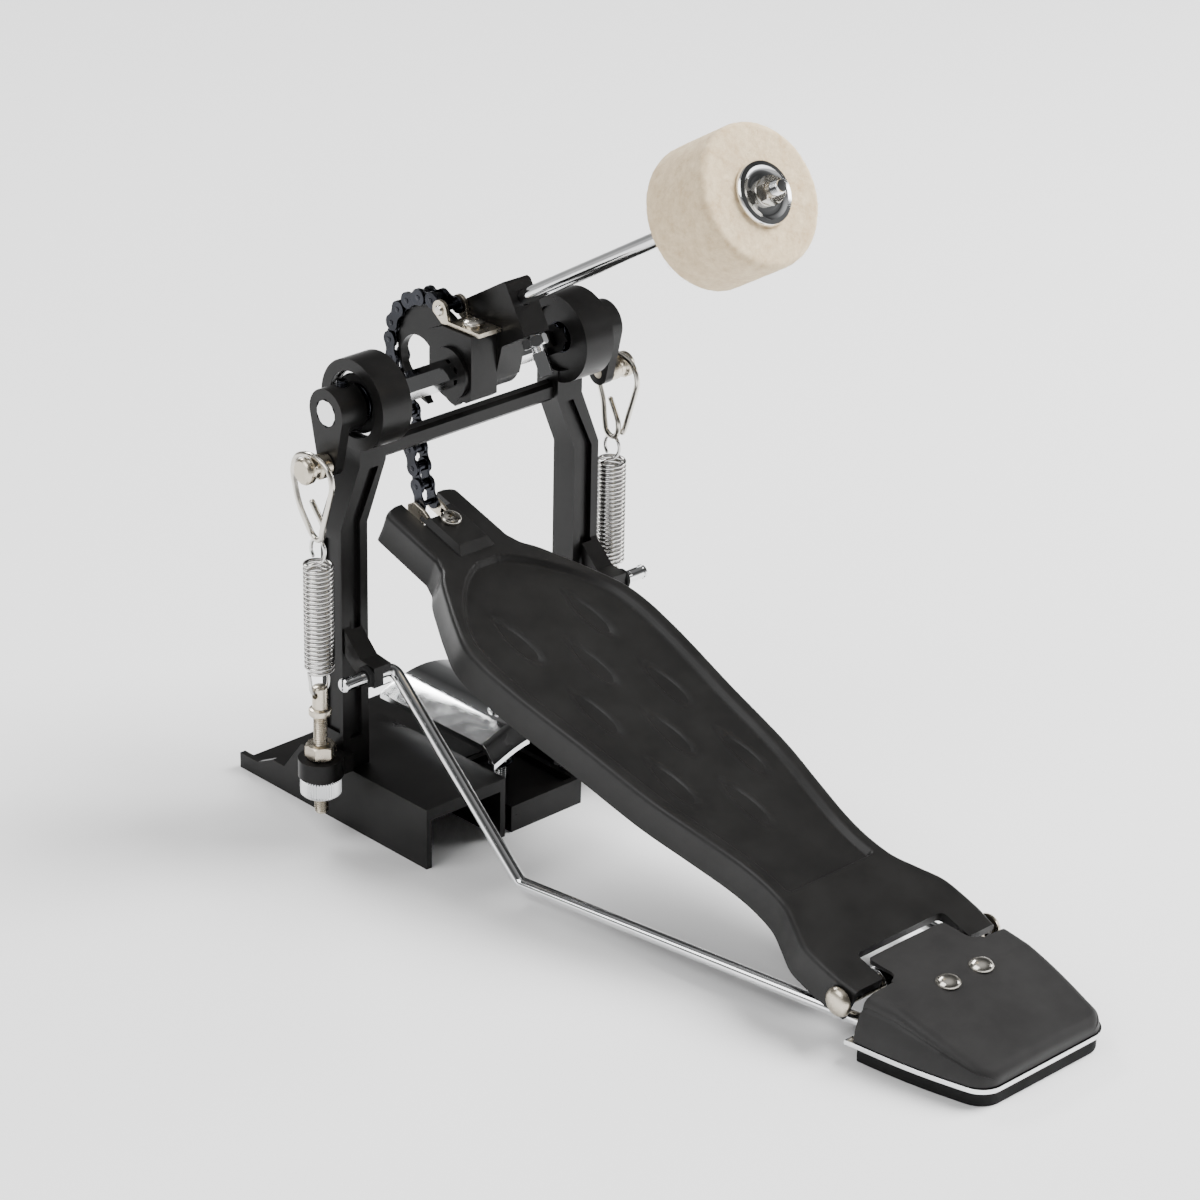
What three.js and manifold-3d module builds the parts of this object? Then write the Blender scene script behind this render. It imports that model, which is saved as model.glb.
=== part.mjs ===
// A bass drum pedal: a hex axle carries a felt beater and a chain cam between two uprights,
// two tension springs pull its cranks down, and a footboard hinged at the heel pulls the chain.
// Millimetres, +X to the player's right, +Y towards the drum, +Z up, origin on the floor below the axle.
import * as THREE from "three";
import { mergeVertices } from "three/addons/utils/BufferGeometryUtils.js";
import Module from "manifold-3d";

const wasm = await Module();
wasm.setup();

// ---- Driving dimensions ----
const axleHeight = 190;
const axleFlats = 10.4;
const postInner = 47.5;
const postWidth = 14;
const postSpread = 10.2;
const housingRadius = 19.2;
const housingDepth = 15.3;
const bearingRadius = 14;
const axleEnd = postInner + 29.5;
const baseHalf = postInner + 20.3;
const baseFront = -50.3;
const baseRear = 72;
const baseTop = 27.5;
const heelY = -258.5;
const heelZ = 20;
const boardAboveHinge = 7.32;
const boardDepth = 14;
const boardSkin = 4.6;
const springX = postInner + 34.5;
const crankDrop = 22;
const springRadius = 6.5;
const springWire = 1.7;
const springTurns = 24;
const springBottom = 77;
const springTop = axleHeight - 63.6;
const eyeZ = 65;
const camY = 18;
const chainRadius = 25.5;
const chainX = -2.5;
const pitch = 8;
const wrappedLinks = 5;
const looseLinks = 2;
const hangingLinks = 8;
const beaterX = 11;
const rodRise = THREE.MathUtils.degToRad(31);
const rodRadius = 3.3;
const feltRadius = 29;
const feltLength = 36;
const gap = 0.3;

// ---- Finishes ----
const finish = (color, roughness, metalness) => new THREE.MeshStandardMaterial({ color, roughness, metalness });
const blackCoat = finish(0x17181a, 0.45, 0.2);
const chrome = finish(0xd9dbdd, 0.12, 1);
const nickel = finish(0xc4bfb4, 0.25, 1);
const blueSteel = finish(0x24262c, 0.3, 0.9);
const rubber = finish(0x121212, 0.85, 0);
const feltWool = finish(0xe1d5be, 0.95, 0);

const group = new THREE.Group();

// ---- Solids ----

// A closed three.js geometry as a solid that can be joined and cut.
function solid(geometry) {
  geometry.deleteAttribute("normal");
  geometry.deleteAttribute("uv");
  const merged = mergeVertices(geometry, 1e-4);
  const vertProperties = new Float32Array(merged.attributes.position.array);
  const triVerts = new Uint32Array(merged.index.array);
  return new wasm.Manifold(new wasm.Mesh({ numProp: 3, vertProperties, triVerts }));
}

function join(...solids) {
  return solids.reduce((whole, next) => whole.add(next));
}

function cut(body, ...tools) {
  return tools.reduce((left, tool) => left.subtract(tool), body);
}

// Adds a solid to the pedal as a named mesh.
function add(name, body, material) {
  const { vertProperties, triVerts } = body.getMesh();
  const geometry = new THREE.BufferGeometry();
  geometry.setAttribute("position", new THREE.BufferAttribute(new Float32Array(vertProperties), 3));
  geometry.setIndex(new THREE.BufferAttribute(new Uint32Array(triVerts), 1));
  geometry.computeVertexNormals();
  const mesh = new THREE.Mesh(geometry, material);
  mesh.name = name;
  group.add(mesh);
  return mesh;
}

function box(x0, x1, y0, y1, z0, z1) {
  const geometry = new THREE.BoxGeometry(x1 - x0, y1 - y0, z1 - z0);
  return solid(geometry.translate((x0 + x1) / 2, (y0 + y1) / 2, (z0 + z1) / 2));
}

// A cylinder or cone from one point to another.
function rod(from, to, radius, sides = 24, radiusTo = radius, turn = 0) {
  const start = new THREE.Vector3(...from);
  const run = new THREE.Vector3(...to).sub(start);
  const geometry = new THREE.CylinderGeometry(radiusTo, radius, run.length(), sides);
  geometry.rotateY(turn);
  geometry.translate(0, run.length() / 2, 0);
  const lean = new THREE.Quaternion().setFromUnitVectors(new THREE.Vector3(0, 1, 0), run.normalize());
  return solid(geometry.applyQuaternion(lean).translate(start.x, start.y, start.z));
}

const rodX = (x0, x1, y, z, radius, sides = 24) => rod([x0, y, z], [x1, y, z], radius, sides);
const rodZ = (x, y, z0, z1, radius, sides = 24) => rod([x, y, z0], [x, y, z1], radius, sides);

// A shape drawn in Y and Z, given thickness along X.
function slabX(shape, x0, x1, curveSegments = 8) {
  const geometry = new THREE.ExtrudeGeometry(shape, { depth: x1 - x0, bevelEnabled: false, curveSegments });
  const toYZ = new THREE.Matrix4().makeBasis(
    new THREE.Vector3(0, 1, 0),
    new THREE.Vector3(0, 0, 1),
    new THREE.Vector3(1, 0, 0),
  );
  return solid(geometry.applyMatrix4(toYZ).translate(x0, 0, 0));
}

// A shape drawn in X and Z, given thickness along Y.
function slabY(shape, y0, y1, curveSegments = 8) {
  const geometry = new THREE.ExtrudeGeometry(shape, { depth: y1 - y0, bevelEnabled: false, curveSegments });
  return solid(geometry.rotateX(Math.PI / 2).translate(0, y1, 0));
}

// A shape drawn in X and Y, given thickness along Z.
function slabZ(shape, z0, z1, curveSegments = 8) {
  const geometry = new THREE.ExtrudeGeometry(shape, { depth: z1 - z0, bevelEnabled: false, curveSegments });
  return solid(geometry.translate(0, 0, z0));
}

const outline = (points) => new THREE.Shape(points.map(([u, v]) => new THREE.Vector2(u, v)));

// A round wire of one radius along a curve.
function wire(curve, radius, steps, sides = 8) {
  const section = new THREE.Shape();
  section.absarc(0, 0, radius, 0, 2 * Math.PI);
  const geometry = new THREE.ExtrudeGeometry(section, {
    steps,
    curveSegments: sides / 2,
    bevelEnabled: false,
    extrudePath: curve,
  });
  return solid(geometry);
}

const smooth = (points, tension = 0.5) =>
  new THREE.CatmullRomCurve3(points.map((p) => new THREE.Vector3(...p)), false, "catmullrom", tension);

// A solid of revolution about X, from a profile of (x, radius) pairs that starts and ends on the axis.
function turnedX(profile, y, z, sides = 18) {
  const geometry = new THREE.LatheGeometry(profile.map(([x, r]) => new THREE.Vector2(r, x)), sides);
  return solid(geometry.rotateZ(-Math.PI / 2).translate(0, y, z));
}

// ---- Base ----

function base() {
  const wallShape = outline([
    [baseFront, 0],
    [baseRear, 0],
    [baseRear, 7],
    [baseRear - 12, 7],
    [baseRear - 22, 12],
    [baseRear - 30, 12],
    [baseRear - 42, baseTop],
    [baseFront, baseTop],
  ]);
  const wall = 2.8;
  const inner = 24.3;
  let body = box(-baseHalf, baseHalf, -6, baseRear, 0, 3.2);
  for (const side of [-1, 1]) {
    const walls = slabX(wallShape, side > 0 ? baseHalf - wall : -baseHalf, side > 0 ? baseHalf : wall - baseHalf);
    const near = side > 0 ? inner : -baseHalf;
    const top = box(near, near + baseHalf - inner, baseFront, baseRear - 42, baseTop - wall, baseTop);
    const lip = box(near, near + baseHalf - inner, baseFront, baseFront + wall, baseTop - 5.5, baseTop);
    const web = side > 0 ? inner : -inner - wall;
    const rib = box(web, web + wall, side > 0 ? -28 : baseFront, baseRear - 42, 0, baseTop);
    body = join(body, walls, top, lip, rib);
  }
  const tray = box(-20, 20, baseFront + 0.8, baseRear, 0, 9);
  const rim = cut(
    box(-20, 20, baseFront + 0.8, -4, 0, 12),
    box(-17, 17, baseFront + 3.8, -7, 7, 20),
  );
  const bridge = box(-inner - 1, inner + 1, -6, baseRear - 42, 0, 9);
  const boltHole = rodZ(0, -20.6, 4, 20, 3.4);
  add("base_plate", cut(join(body, tray, rim, bridge), boltHole), blackCoat);
}

// ---- Uprights ----

const bendLow = axleHeight - 52;
const bendHigh = axleHeight - 27;
const housingIn = postInner + 0.5;
const rodPivot = [-18, 78];
const rodHole = 3.1;

// One upright casting: a ribbed lower post, a lean inwards, the bearing housing, the spring lug and the rod boss.
function upright(side, name) {
  const front = -2.3;
  const back = 10.7;
  const highIn = postInner;
  const highOut = postInner + postWidth;
  const lowIn = highIn + postSpread;
  const lowOut = highOut + postSpread;
  const at = (x) => side * x;
  const frontView = outline([
    [at(lowIn), baseTop + gap],
    [at(lowOut), baseTop + gap],
    [at(lowOut), bendLow],
    [at(highOut), bendHigh],
    [at(highOut), axleHeight],
    [at(highIn), axleHeight],
    [at(highIn), bendHigh],
    [at(lowIn), bendLow],
  ]);
  let post = slabY(frontView, front, back);
  // A long recess between two flanges on the front face.
  const recess = outline([
    [at(lowIn + 4), baseTop + 14],
    [at(lowOut - 4), baseTop + 14],
    [at(lowOut - 4), bendLow + 2],
    [at(lowIn + 4), bendLow + 2],
  ]);
  post = cut(post, slabY(recess, front - 1, front + 2.2), slabY(recess, back - 2.2, back + 1));
  const from = side > 0 ? housingIn : -housingIn - housingDepth;
  const housing = rodX(from, from + housingDepth, 0, axleHeight, housingRadius, 32);
  const bore = rodX(from - 4, from + housingDepth + 4, 0, axleHeight, bearingRadius + gap, 28);
  // The lug that holds the spring's eye bolt.
  const lugFrom = Math.min(at(lowOut - 2), at(springX));
  const lugTo = Math.max(at(lowOut - 2), at(springX));
  const lug = join(box(lugFrom, lugTo, -6.5, 6.5, 29.5, 37.7), rodZ(at(springX), 0, 29.5, 37.7, 9.5));
  const lugHole = rodZ(at(springX), 0, 20, 50, 3.4);
  // The boss that the radius rod's end turns in.
  const bossSide = outline([
    [-21.5, 73.5],
    [-14, 73.5],
    [0, 84],
    [0, 96],
    [-13, 83.5],
    [-21.5, 82.5],
  ]);
  const bossDepth = 9;
  const bossIn = side > 0 ? lowIn + 4.3 : -lowIn - 4.3 - bossDepth;
  const boss = slabX(bossSide, bossIn, bossIn + bossDepth);
  const bossHole = rodX(bossIn - 4, bossIn + bossDepth + 4, ...rodPivot, rodHole);
  const mouth = side > 0 ? bossIn - 2 : bossIn + bossDepth - 4;
  const bossMouth = rodX(mouth, mouth + 6, rodPivot[0], rodPivot[1] - 1, 4.6);
  add(name, cut(join(post, housing, lug, boss), bore, lugHole, bossHole, bossMouth), blackCoat);
}

function crossBar() {
  const low = axleHeight - 28;
  const high = axleHeight - 20;
  const chamfer = 1.5;
  const depth = 7;
  const bar = outline([
    [0, low + chamfer],
    [chamfer, low],
    [depth - chamfer, low],
    [depth, low + chamfer],
    [depth, high - chamfer],
    [depth - chamfer, high],
    [chamfer, high],
    [0, high - chamfer],
  ]);
  add("cross_bar", slabX(bar, gap - postInner, postInner - gap), blackCoat);
}

// ---- Axle, bearings and cranks ----

function ring(x0, x1, outerRadius, innerRadius, y, z, sides = 28) {
  return cut(rodX(x0, x1, y, z, outerRadius, sides), rodX(x0 - 1, x1 + 1, y, z, innerRadius, sides));
}

function bearings() {
  const width = 10;
  const track = 11;
  const from = housingIn + 2.5;
  for (const [side, letter] of [[-1, "left"], [1, "right"]]) {
    const near = side > 0 ? from : -from - width;
    const outer = ring(near, near + width, bearingRadius, track, 0, axleHeight);
    const inner = ring(near, near + width, track - gap, axleFlats / Math.sqrt(3) + 0.4, 0, axleHeight);
    add(letter + "_bearing_outer_race", outer, chrome);
    add(letter + "_bearing_inner_race", inner, chrome);
  }
}

function axle() {
  const hex = axleFlats / Math.sqrt(3);
  add("axle_shaft", rod([-axleEnd, 0, axleHeight], [axleEnd, 0, axleHeight], hex, 6, hex, Math.PI / 6), chrome);
}

function crank(side, letter) {
  const pinZ = axleHeight - crankDrop;
  const plateDepth = 4.6;
  const hubDepth = 13.2;
  const hubRadius = 10.2;
  const screwX = side * (axleEnd - 8.5);
  const screwRadius = 2.6;
  const pinEndRadius = 2.5;
  const plateIn = side > 0 ? axleEnd - plateDepth : -axleEnd;
  const plate = outline([
    [-hubRadius, axleHeight],
    [-5.4, pinZ],
    [-3.8, pinZ - 4],
    [0, pinZ - 5.4],
    [3.8, pinZ - 4],
    [5.4, pinZ],
    [hubRadius, axleHeight],
  ]);
  const hex = axleFlats / Math.sqrt(3) + gap;
  const bore = rod([-axleEnd - 5, 0, axleHeight], [axleEnd + 5, 0, axleHeight], hex, 6, hex, Math.PI / 6);
  const hubIn = side > 0 ? axleEnd - hubDepth : -axleEnd;
  const hub = rodX(hubIn, hubIn + hubDepth, 0, axleHeight, hubRadius, 32);
  const screwHole = rodZ(screwX, 0, axleHeight + 4, axleHeight + 20, screwRadius + gap, 16);
  const pinHole = rodX(side * axleEnd - 6, side * axleEnd + 6, 0, pinZ, pinEndRadius + gap, 16);
  const body = join(slabX(plate, plateIn, plateIn + plateDepth), hub);
  add(letter + "_crank", cut(body, bore, screwHole, pinHole), blackCoat);
  const screw = rodZ(screwX, 0, axleHeight + 5.6, axleHeight + 12.5, screwRadius, 16);
  const socket = rodZ(screwX, 0, axleHeight + 10.5, axleHeight + 14, 1.4, 6);
  add(letter + "_crank_set_screw", cut(screw, socket), nickel);
  // The pin that the spring hook rides on, with a groove and a head.
  const profile = [
    [axleEnd - 4.4, 0],
    [axleEnd - 4.4, pinEndRadius],
    [axleEnd + 0.2, pinEndRadius],
    [axleEnd + 0.2, 5.2],
    [axleEnd + 5.4, 5.2],
    [axleEnd + 6.2, 4.2],
    [axleEnd + 8.4, 4.2],
    [axleEnd + 9.2, 5.6],
    [axleEnd + 12.4, 5.6],
    [axleEnd + 13.2, 4.8],
    [axleEnd + 13.2, 0],
  ];
  const pin = turnedX(profile, 0, pinZ);
  add(letter + "_spring_pin", side > 0 ? pin : pin.mirror([1, 0, 0]), nickel);
}

// ---- Springs ----

const hookX = springX + 2.3;

function springSet(side, letter) {
  const x = side * springX;
  const middle = springRadius - springWire / 2;
  // The close-wound coil is a thin tube with ridges.
  const rows = [];
  const wall = 1.3;
  const step = (springTop - springBottom) / springTurns;
  rows.push([springRadius - wall - 0.4, springBottom]);
  for (let i = 0; i < springTurns; i += 4) {
    rows.push([springRadius - 0.4, springBottom + i * step]);
    rows.push([springRadius, springBottom + (i + 2) * step]);
  }
  rows.push([springRadius - 0.5, springTop]);
  rows.push([springRadius - wall - 0.4, springTop]);
  rows.push([springRadius - wall - 0.4, springBottom]);
  const tube = new THREE.LatheGeometry(rows.map(([r, z]) => new THREE.Vector2(r, z)), 16);
  const coil = solid(tube.rotateX(Math.PI / 2).translate(x, 0, 0));
  // The lower loop passes through the eye bolt.
  const loop = wire(
    smooth([
      [x - middle, 0, springBottom + 0.6],
      [x - 4.9, 0, springBottom - 4],
      [x - 4.4, 0, eyeZ + 4.2],
      [x - 2.5, 0, eyeZ + 2.4],
      [x, 0, eyeZ + 2.3],
      [x + 2.5, 0, eyeZ + 2.4],
      [x + 4.4, 0, eyeZ + 4.2],
      [x + 4.9, 0, springBottom - 4],
      [x + 3.6, 0, springBottom - 1.6],
    ]),
    springWire / 2,
    16,
    6,
  );
  add(letter + "_spring", join(coil, loop), nickel);
}

// The wire hook that joins a spring to its crank: a wide teardrop, open at the bottom.
function springHook(side, letter) {
  const x = side * hookX;
  const lean = side * springX;
  const top = axleHeight - crankDrop + 4.2 + gap + 1.2;
  const points = [
    [lean, -3, springTop + 1.6],
    [lean, -4.2, springTop + 6],
    [lean + side * 0.8, -1.5, springTop + 11],
    [x, 4, springTop + 14.5],
    [x, 10.6, springTop + 22],
    [x, 12, springTop + 33],
    [x, 8.4, top - 3.4],
    [x, 0, top],
    [x, -8.4, top - 3.4],
    [x, -12, springTop + 33],
    [x, -11, springTop + 23],
    [x, -7.6, springTop + 17],
  ];
  add(letter + "_spring_hook", wire(smooth(points), 1.2, 30, 6), nickel);
}

function tension(side, letter) {
  const x = side * springX;
  // Eye bolt: a threaded shank, a collar and a cross-drilled end that the spring's loop passes through.
  const shank = rodZ(x, 0, 12.2, 58, 3.05, 16);
  const collar = rodZ(x, 0, 57.3, 60.3, 4.8, 20);
  const end = rodZ(x, 0, 60, eyeZ + 5.6, 3.3, 20);
  const hole = rodX(x - 5, x + 5, 0, eyeZ + 2.3, 1.9, 16);
  add(letter + "_eye_bolt", cut(join(shank, collar, end), hole), nickel);
  const clear = rodZ(x, 0, 10, 60, 3.4, 20);
  add(letter + "_lock_nut", cut(rodZ(x, 0, 38, 44, 6.65, 6), clear), nickel);
  const flutes = 16;
  const groove = new THREE.Shape();
  for (let i = 0; i < flutes * 2; i += 1) {
    const radius = i % 2 ? 8.75 : 8.3;
    const angle = (i / flutes) * Math.PI;
    const point = [x + radius * Math.cos(angle), radius * Math.sin(angle)];
    if (i === 0) groove.moveTo(...point);
    else groove.lineTo(...point);
  }
  add(letter + "_tension_nut", cut(slabZ(groove, 20.9, 29.1), clear), chrome);
}

// ---- Hub, cam and chain ----

const camCentre = [camY, axleHeight];
const linkStep = 2 * Math.asin(pitch / 2 / chainRadius);
const firstPin = THREE.MathUtils.degToRad(110);
const camPin = (k) => [
  camCentre[0] + chainRadius * Math.cos(firstPin - k * linkStep),
  camCentre[1] + chainRadius * Math.sin(firstPin - k * linkStep),
];
const lastPin = wrappedLinks + looseLinks;
const hang = firstPin - lastPin * linkStep;
const hangPin = (k) => [
  camPin(lastPin)[0] + k * pitch * Math.sin(hang),
  camPin(lastPin)[1] - k * pitch * Math.cos(hang),
];

const hubTop = axleHeight + 18.4;
const hubLow = axleHeight - 11;
const anchorY = -5;
const anchorHole = 2.3;

function hub() {
  const block = slabX(
    outline([
      [-12, hubLow + 2],
      [-9, hubLow],
      [14, hubLow],
      [14, hubTop - 3.4],
      [6, hubTop],
      [-12, hubTop],
    ]),
    -10,
    4.2,
  );
  const boss = rodX(-12, 17.5, 0, axleHeight, 11, 32);
  const disc = new THREE.Shape();
  disc.absarc(camY, axleHeight, chainRadius - 4.3, 0, 2 * Math.PI);
  const thin = new THREE.Shape();
  thin.absarc(camY, axleHeight, chainRadius - 3, 0, 2 * Math.PI);
  let cam = join(slabX(disc, chainX - 1.85, chainX + 1.85, 16), slabX(thin, chainX - 1.6, chainX + 1.6, 16));
  // The window clears the cross bar as the cam turns past it.
  const window = new THREE.Shape();
  window.absarc(camY + 9.5, axleHeight - 4, 10.6, 0, 2 * Math.PI);
  const sweep = new THREE.Shape();
  const from = THREE.MathUtils.degToRad(-118);
  const to = THREE.MathUtils.degToRad(-6);
  sweep.absarc(0, axleHeight, 30.8, from, to, false);
  sweep.absarc(0, axleHeight, 18.6, to, from, true);
  cam = cut(cam, slabX(window, -12, 8, 10), slabX(sweep, -12, 8, 10));
  const clamp = slabX(clampOutline(), 4, 17.5);
  const hex = axleFlats / Math.sqrt(3) + gap;
  const bore = rod([-14, 0, axleHeight], [20, 0, axleHeight], hex, 6, hex, Math.PI / 6);
  const rodHole = rod(alongRod(-60), alongRod(20), rodRadius + 0.1, 28);
  const boltHole = rod(clampBolt(-1), clampBolt(30), 2.5 + gap, 18);
  const screwHole = rodZ(chainX, anchorY, hubTop - 8.4, hubTop + 4, anchorHole, 16);
  const seat = box(-10.5, 4.6, -16, 12.1, hubTop, hubTop + 6);
  add("cam_hub", cut(join(block, boss, cam, clamp), bore, rodHole, boltHole, screwHole, seat), blackCoat);
}

// The beater rod's axis: a point so far up the rod from the clamp's front face.
const clampFace = [-20.7, axleHeight + 33.6];
const rodDir = [-Math.cos(rodRise), Math.sin(rodRise)];
const alongRod = (s) => [beaterX, clampFace[0] + s * rodDir[0], clampFace[1] + s * rodDir[1]];
const boltDir = [-Math.sin(rodRise), -Math.cos(rodRise)];
const boltFoot = [clampFace[0] - 3.4 * rodDir[0], clampFace[1] - 3.4 * rodDir[1]];
const clampBolt = (s) => [beaterX, boltFoot[0] + s * boltDir[0], boltFoot[1] + s * boltDir[1]];

// The rod clamp seen from the side: square to the rod at the front, running back into the hub.
function clampOutline() {
  const across = (s, up) => [
    clampFace[0] + s * rodDir[0] - up * boltDir[0],
    clampFace[1] + s * rodDir[1] - up * boltDir[1],
  ];
  const corners = [
    across(0, -15.6),
    across(-16, -15.6),
    [-11, axleHeight - 4],
    [0, axleHeight - 10],
    [13, axleHeight - 8],
    [14, axleHeight + 15],
    across(-29, 2),
    across(-29, 7),
    across(-27, 8.4),
    across(-1.5, 8.4),
    across(0, 7),
  ];
  return outline(corners.reverse());
}

function beater() {
  const shaft = rod(alongRod(-31), alongRod(140), rodRadius, 28);
  const feltFrom = 117;
  const stud = rod(alongRod(139), alongRod(feltFrom + feltLength + 11.5), 2.9, 20);
  add("beater_rod", join(shaft, stud), chrome);
  // A felt drum with softly rounded rims.
  const round = 4;
  const half = feltLength / 2;
  const profile = [[0, -half]];
  for (let i = 0; i <= 3; i += 1) {
    const angle = (i / 3) * (Math.PI / 2);
    profile.push([feltRadius - round + round * Math.sin(angle), -half + round - round * Math.cos(angle)]);
  }
  for (let i = 0; i <= 3; i += 1) {
    const angle = (i / 3) * (Math.PI / 2);
    profile.push([feltRadius - round + round * Math.cos(angle), half - round + round * Math.sin(angle)]);
  }
  profile.push([0, half]);
  const lathe = new THREE.LatheGeometry(profile.map(([r, h]) => new THREE.Vector2(r, h)), 32);
  const lean = new THREE.Quaternion().setFromUnitVectors(
    new THREE.Vector3(0, 1, 0),
    new THREE.Vector3(0, rodDir[0], rodDir[1]),
  );
  const middle = alongRod(feltFrom + half);
  const felt = solid(lathe.applyQuaternion(lean).translate(...middle));
  const bore = rod(alongRod(feltFrom - 5), alongRod(feltFrom + feltLength + 5), rodRadius + gap, 28);
  add("beater_felt", cut(felt, bore), feltWool);
  const end = feltFrom + feltLength + gap;
  const thread = rod(alongRod(end - 2), alongRod(end + 14), 2.9 + gap, 20);
  add("beater_cup_washer", cut(rod(alongRod(end), alongRod(end + 2), 13, 32, 12.4), thread), nickel);
  add("beater_nut", cut(rod(alongRod(end + 2.3), alongRod(end + 7.3), 5.8, 6), thread), nickel);
  const lower = feltFrom - gap;
  const clear = rod(alongRod(lower - 6), alongRod(lower + 2), rodRadius + gap, 28);
  add("beater_collar", cut(rod(alongRod(lower - 3), alongRod(lower), 8, 28, 11), clear), nickel);
  // The clamp bolt: a shank, a collar nut and a square head.
  const bolt = join(
    rod(clampBolt(rodRadius + gap), clampBolt(24), 2.5, 18),
    rod(clampBolt(16.2), clampBolt(20.6), 5.2, 6),
    rod(clampBolt(23.5), clampBolt(33), 3.6, 4),
  );
  add("beater_clamp_bolt", bolt, chrome);
}

// A chain plate between two pins.
function plate(a, b, x0, x1) {
  const angle = Math.atan2(b[1] - a[1], b[0] - a[0]);
  const radius = 3.55;
  const shape = new THREE.Shape();
  shape.absarc(b[0], b[1], radius, angle - Math.PI / 2, angle + Math.PI / 2, false);
  shape.absarc(a[0], a[1], radius, angle + Math.PI / 2, angle + 1.5 * Math.PI, false);
  return slabX(shape, x0, x1, 2);
}

const innerHalf = 2.05;
const plateThick = 0.9;
const pinRadius = 1.15;
const bushRadius = 2.3;

// An outer link carries its two pins; an inner link has two plates on bushes that the pins turn in.
function outerLink(a, b) {
  const near = innerHalf + plateThick + 0.15;
  const far = near + plateThick;
  return join(
    plate(a, b, chainX - far, chainX - near),
    plate(a, b, chainX + near, chainX + far),
    rodX(chainX - far - 0.3, chainX + far + 0.3, ...a, pinRadius, 6),
    rodX(chainX - far - 0.3, chainX + far + 0.3, ...b, pinRadius, 6),
  );
}

function innerLink(a, b, pinHoleA, pinHoleB) {
  const far = innerHalf + plateThick;
  const body = join(
    plate(a, b, chainX - far, chainX - innerHalf),
    plate(a, b, chainX + innerHalf, chainX + far),
    rodX(chainX - far, chainX + far, ...a, bushRadius, 8),
    rodX(chainX - far, chainX + far, ...b, bushRadius, 8),
  );
  const holes = [];
  if (pinHoleA) holes.push(rodX(chainX - 6, chainX + 6, ...a, pinRadius + 0.2, 6));
  if (pinHoleB) holes.push(rodX(chainX - 6, chainX + 6, ...b, pinRadius + 0.2, 6));
  return cut(body, ...holes);
}

function chain() {
  let wrapped = outerLink(camPin(0), camPin(1));
  for (let k = 1; k < wrappedLinks; k += 1) {
    const link = k % 2 ? innerLink(camPin(k), camPin(k + 1), false, false) : outerLink(camPin(k), camPin(k + 1));
    wrapped = join(wrapped, link);
  }
  add("chain_on_cam", wrapped, blueSteel);
  add("chain_link_6", innerLink(camPin(wrappedLinks), camPin(wrappedLinks + 1), true, true), blueSteel);
  add("chain_link_7", outerLink(camPin(wrappedLinks + 1), camPin(lastPin)), blueSteel);
  let run = innerLink(hangPin(0), hangPin(1), true, false);
  for (let k = 1; k < hangingLinks; k += 1) {
    const link = k % 2 ? outerLink(hangPin(k), hangPin(k + 1)) : innerLink(hangPin(k), hangPin(k + 1), false, false);
    run = join(run, link);
  }
  add("chain_run", run, blueSteel);
  // The anchor plate on top of the hub, whose two ears hold the chain's end pin.
  const top = hubTop + gap;
  const ears = innerHalf + 2 * plateThick + 0.15 + 0.3 + gap;
  const ear = outline([
    [1, top],
    [8, top],
    [13, camPin(0)[1] + 1],
    [9, camPin(0)[1] + 4.5],
    [5.5, camPin(0)[1] + 1],
  ]);
  let anchor = join(
    box(chainX - ears - 1.6, chainX + ears + 1.6, -15, 8, top, top + 1.8),
    slabX(ear, chainX - ears - 1.6, chainX - ears),
    slabX(ear, chainX + ears, chainX + ears + 1.6),
  );
  const slot = box(chainX - ears, chainX + ears, 3.5, 20, top - 1, top + 3);
  anchor = cut(anchor, slot, rodZ(chainX, anchorY, top - 8, top + 12, anchorHole, 16));
  add("chain_anchor", anchor, nickel);
  const head = join(
    rodZ(chainX, anchorY, top + 1.8 + gap, top + 4, 4.4, 24),
    rodZ(chainX, anchorY, hubTop - 6.4, top + 3, anchorHole - gap, 16),
  );
  const cross = join(
    box(chainX - 2.5, chainX + 2.5, anchorY - 0.5, anchorY + 0.5, top + 2.8, top + 6),
    box(chainX - 0.5, chainX + 0.5, anchorY - 2.5, anchorY + 2.5, top + 2.8, top + 6),
  );
  add("chain_anchor_screw", cut(head, cross), nickel);
}

// ---- Footboard ----

// The board rests at the tilt that brings its toe bracket to the chain's lowest pin.
const toePin = hangPin(hangingLinks);
const toeAboveBoard = 3.04;
const toeReach = Math.hypot(toePin[0] - heelY, toePin[1] - heelZ);
const boardTilt =
  Math.atan2(toePin[1] - heelZ, toePin[0] - heelY) - Math.asin((boardAboveHinge + toeAboveBoard) / toeReach);

// A point of the board's top plane that stands above a given y, measured along the board from the hinge.
const along = (y) => (y - heelY) / Math.cos(boardTilt) + boardAboveHinge * Math.tan(boardTilt);

function placeBoard(body) {
  return body.rotate([THREE.MathUtils.radToDeg(boardTilt), 0, 0]).translate([0, heelY, heelZ]);
}

// Moves each corner of a closed outline inwards by the same distance from both of its sides.
function inset(points, distance) {
  return points.map((point, i) => {
    const before = points[(i + points.length - 1) % points.length];
    const after = points[(i + 1) % points.length];
    const a = new THREE.Vector2(point[0] - before[0], point[1] - before[1]).normalize();
    const b = new THREE.Vector2(after[0] - point[0], after[1] - point[1]).normalize();
    const bisector = new THREE.Vector2(-a.y - b.y, a.x + b.x).normalize();
    const reach = distance / Math.max(0.35, bisector.dot(new THREE.Vector2(-a.y, a.x)));
    return [point[0] + bisector.x * reach, point[1] + bisector.y * reach];
  });
}

const pinRadiusHeel = 3;

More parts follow.
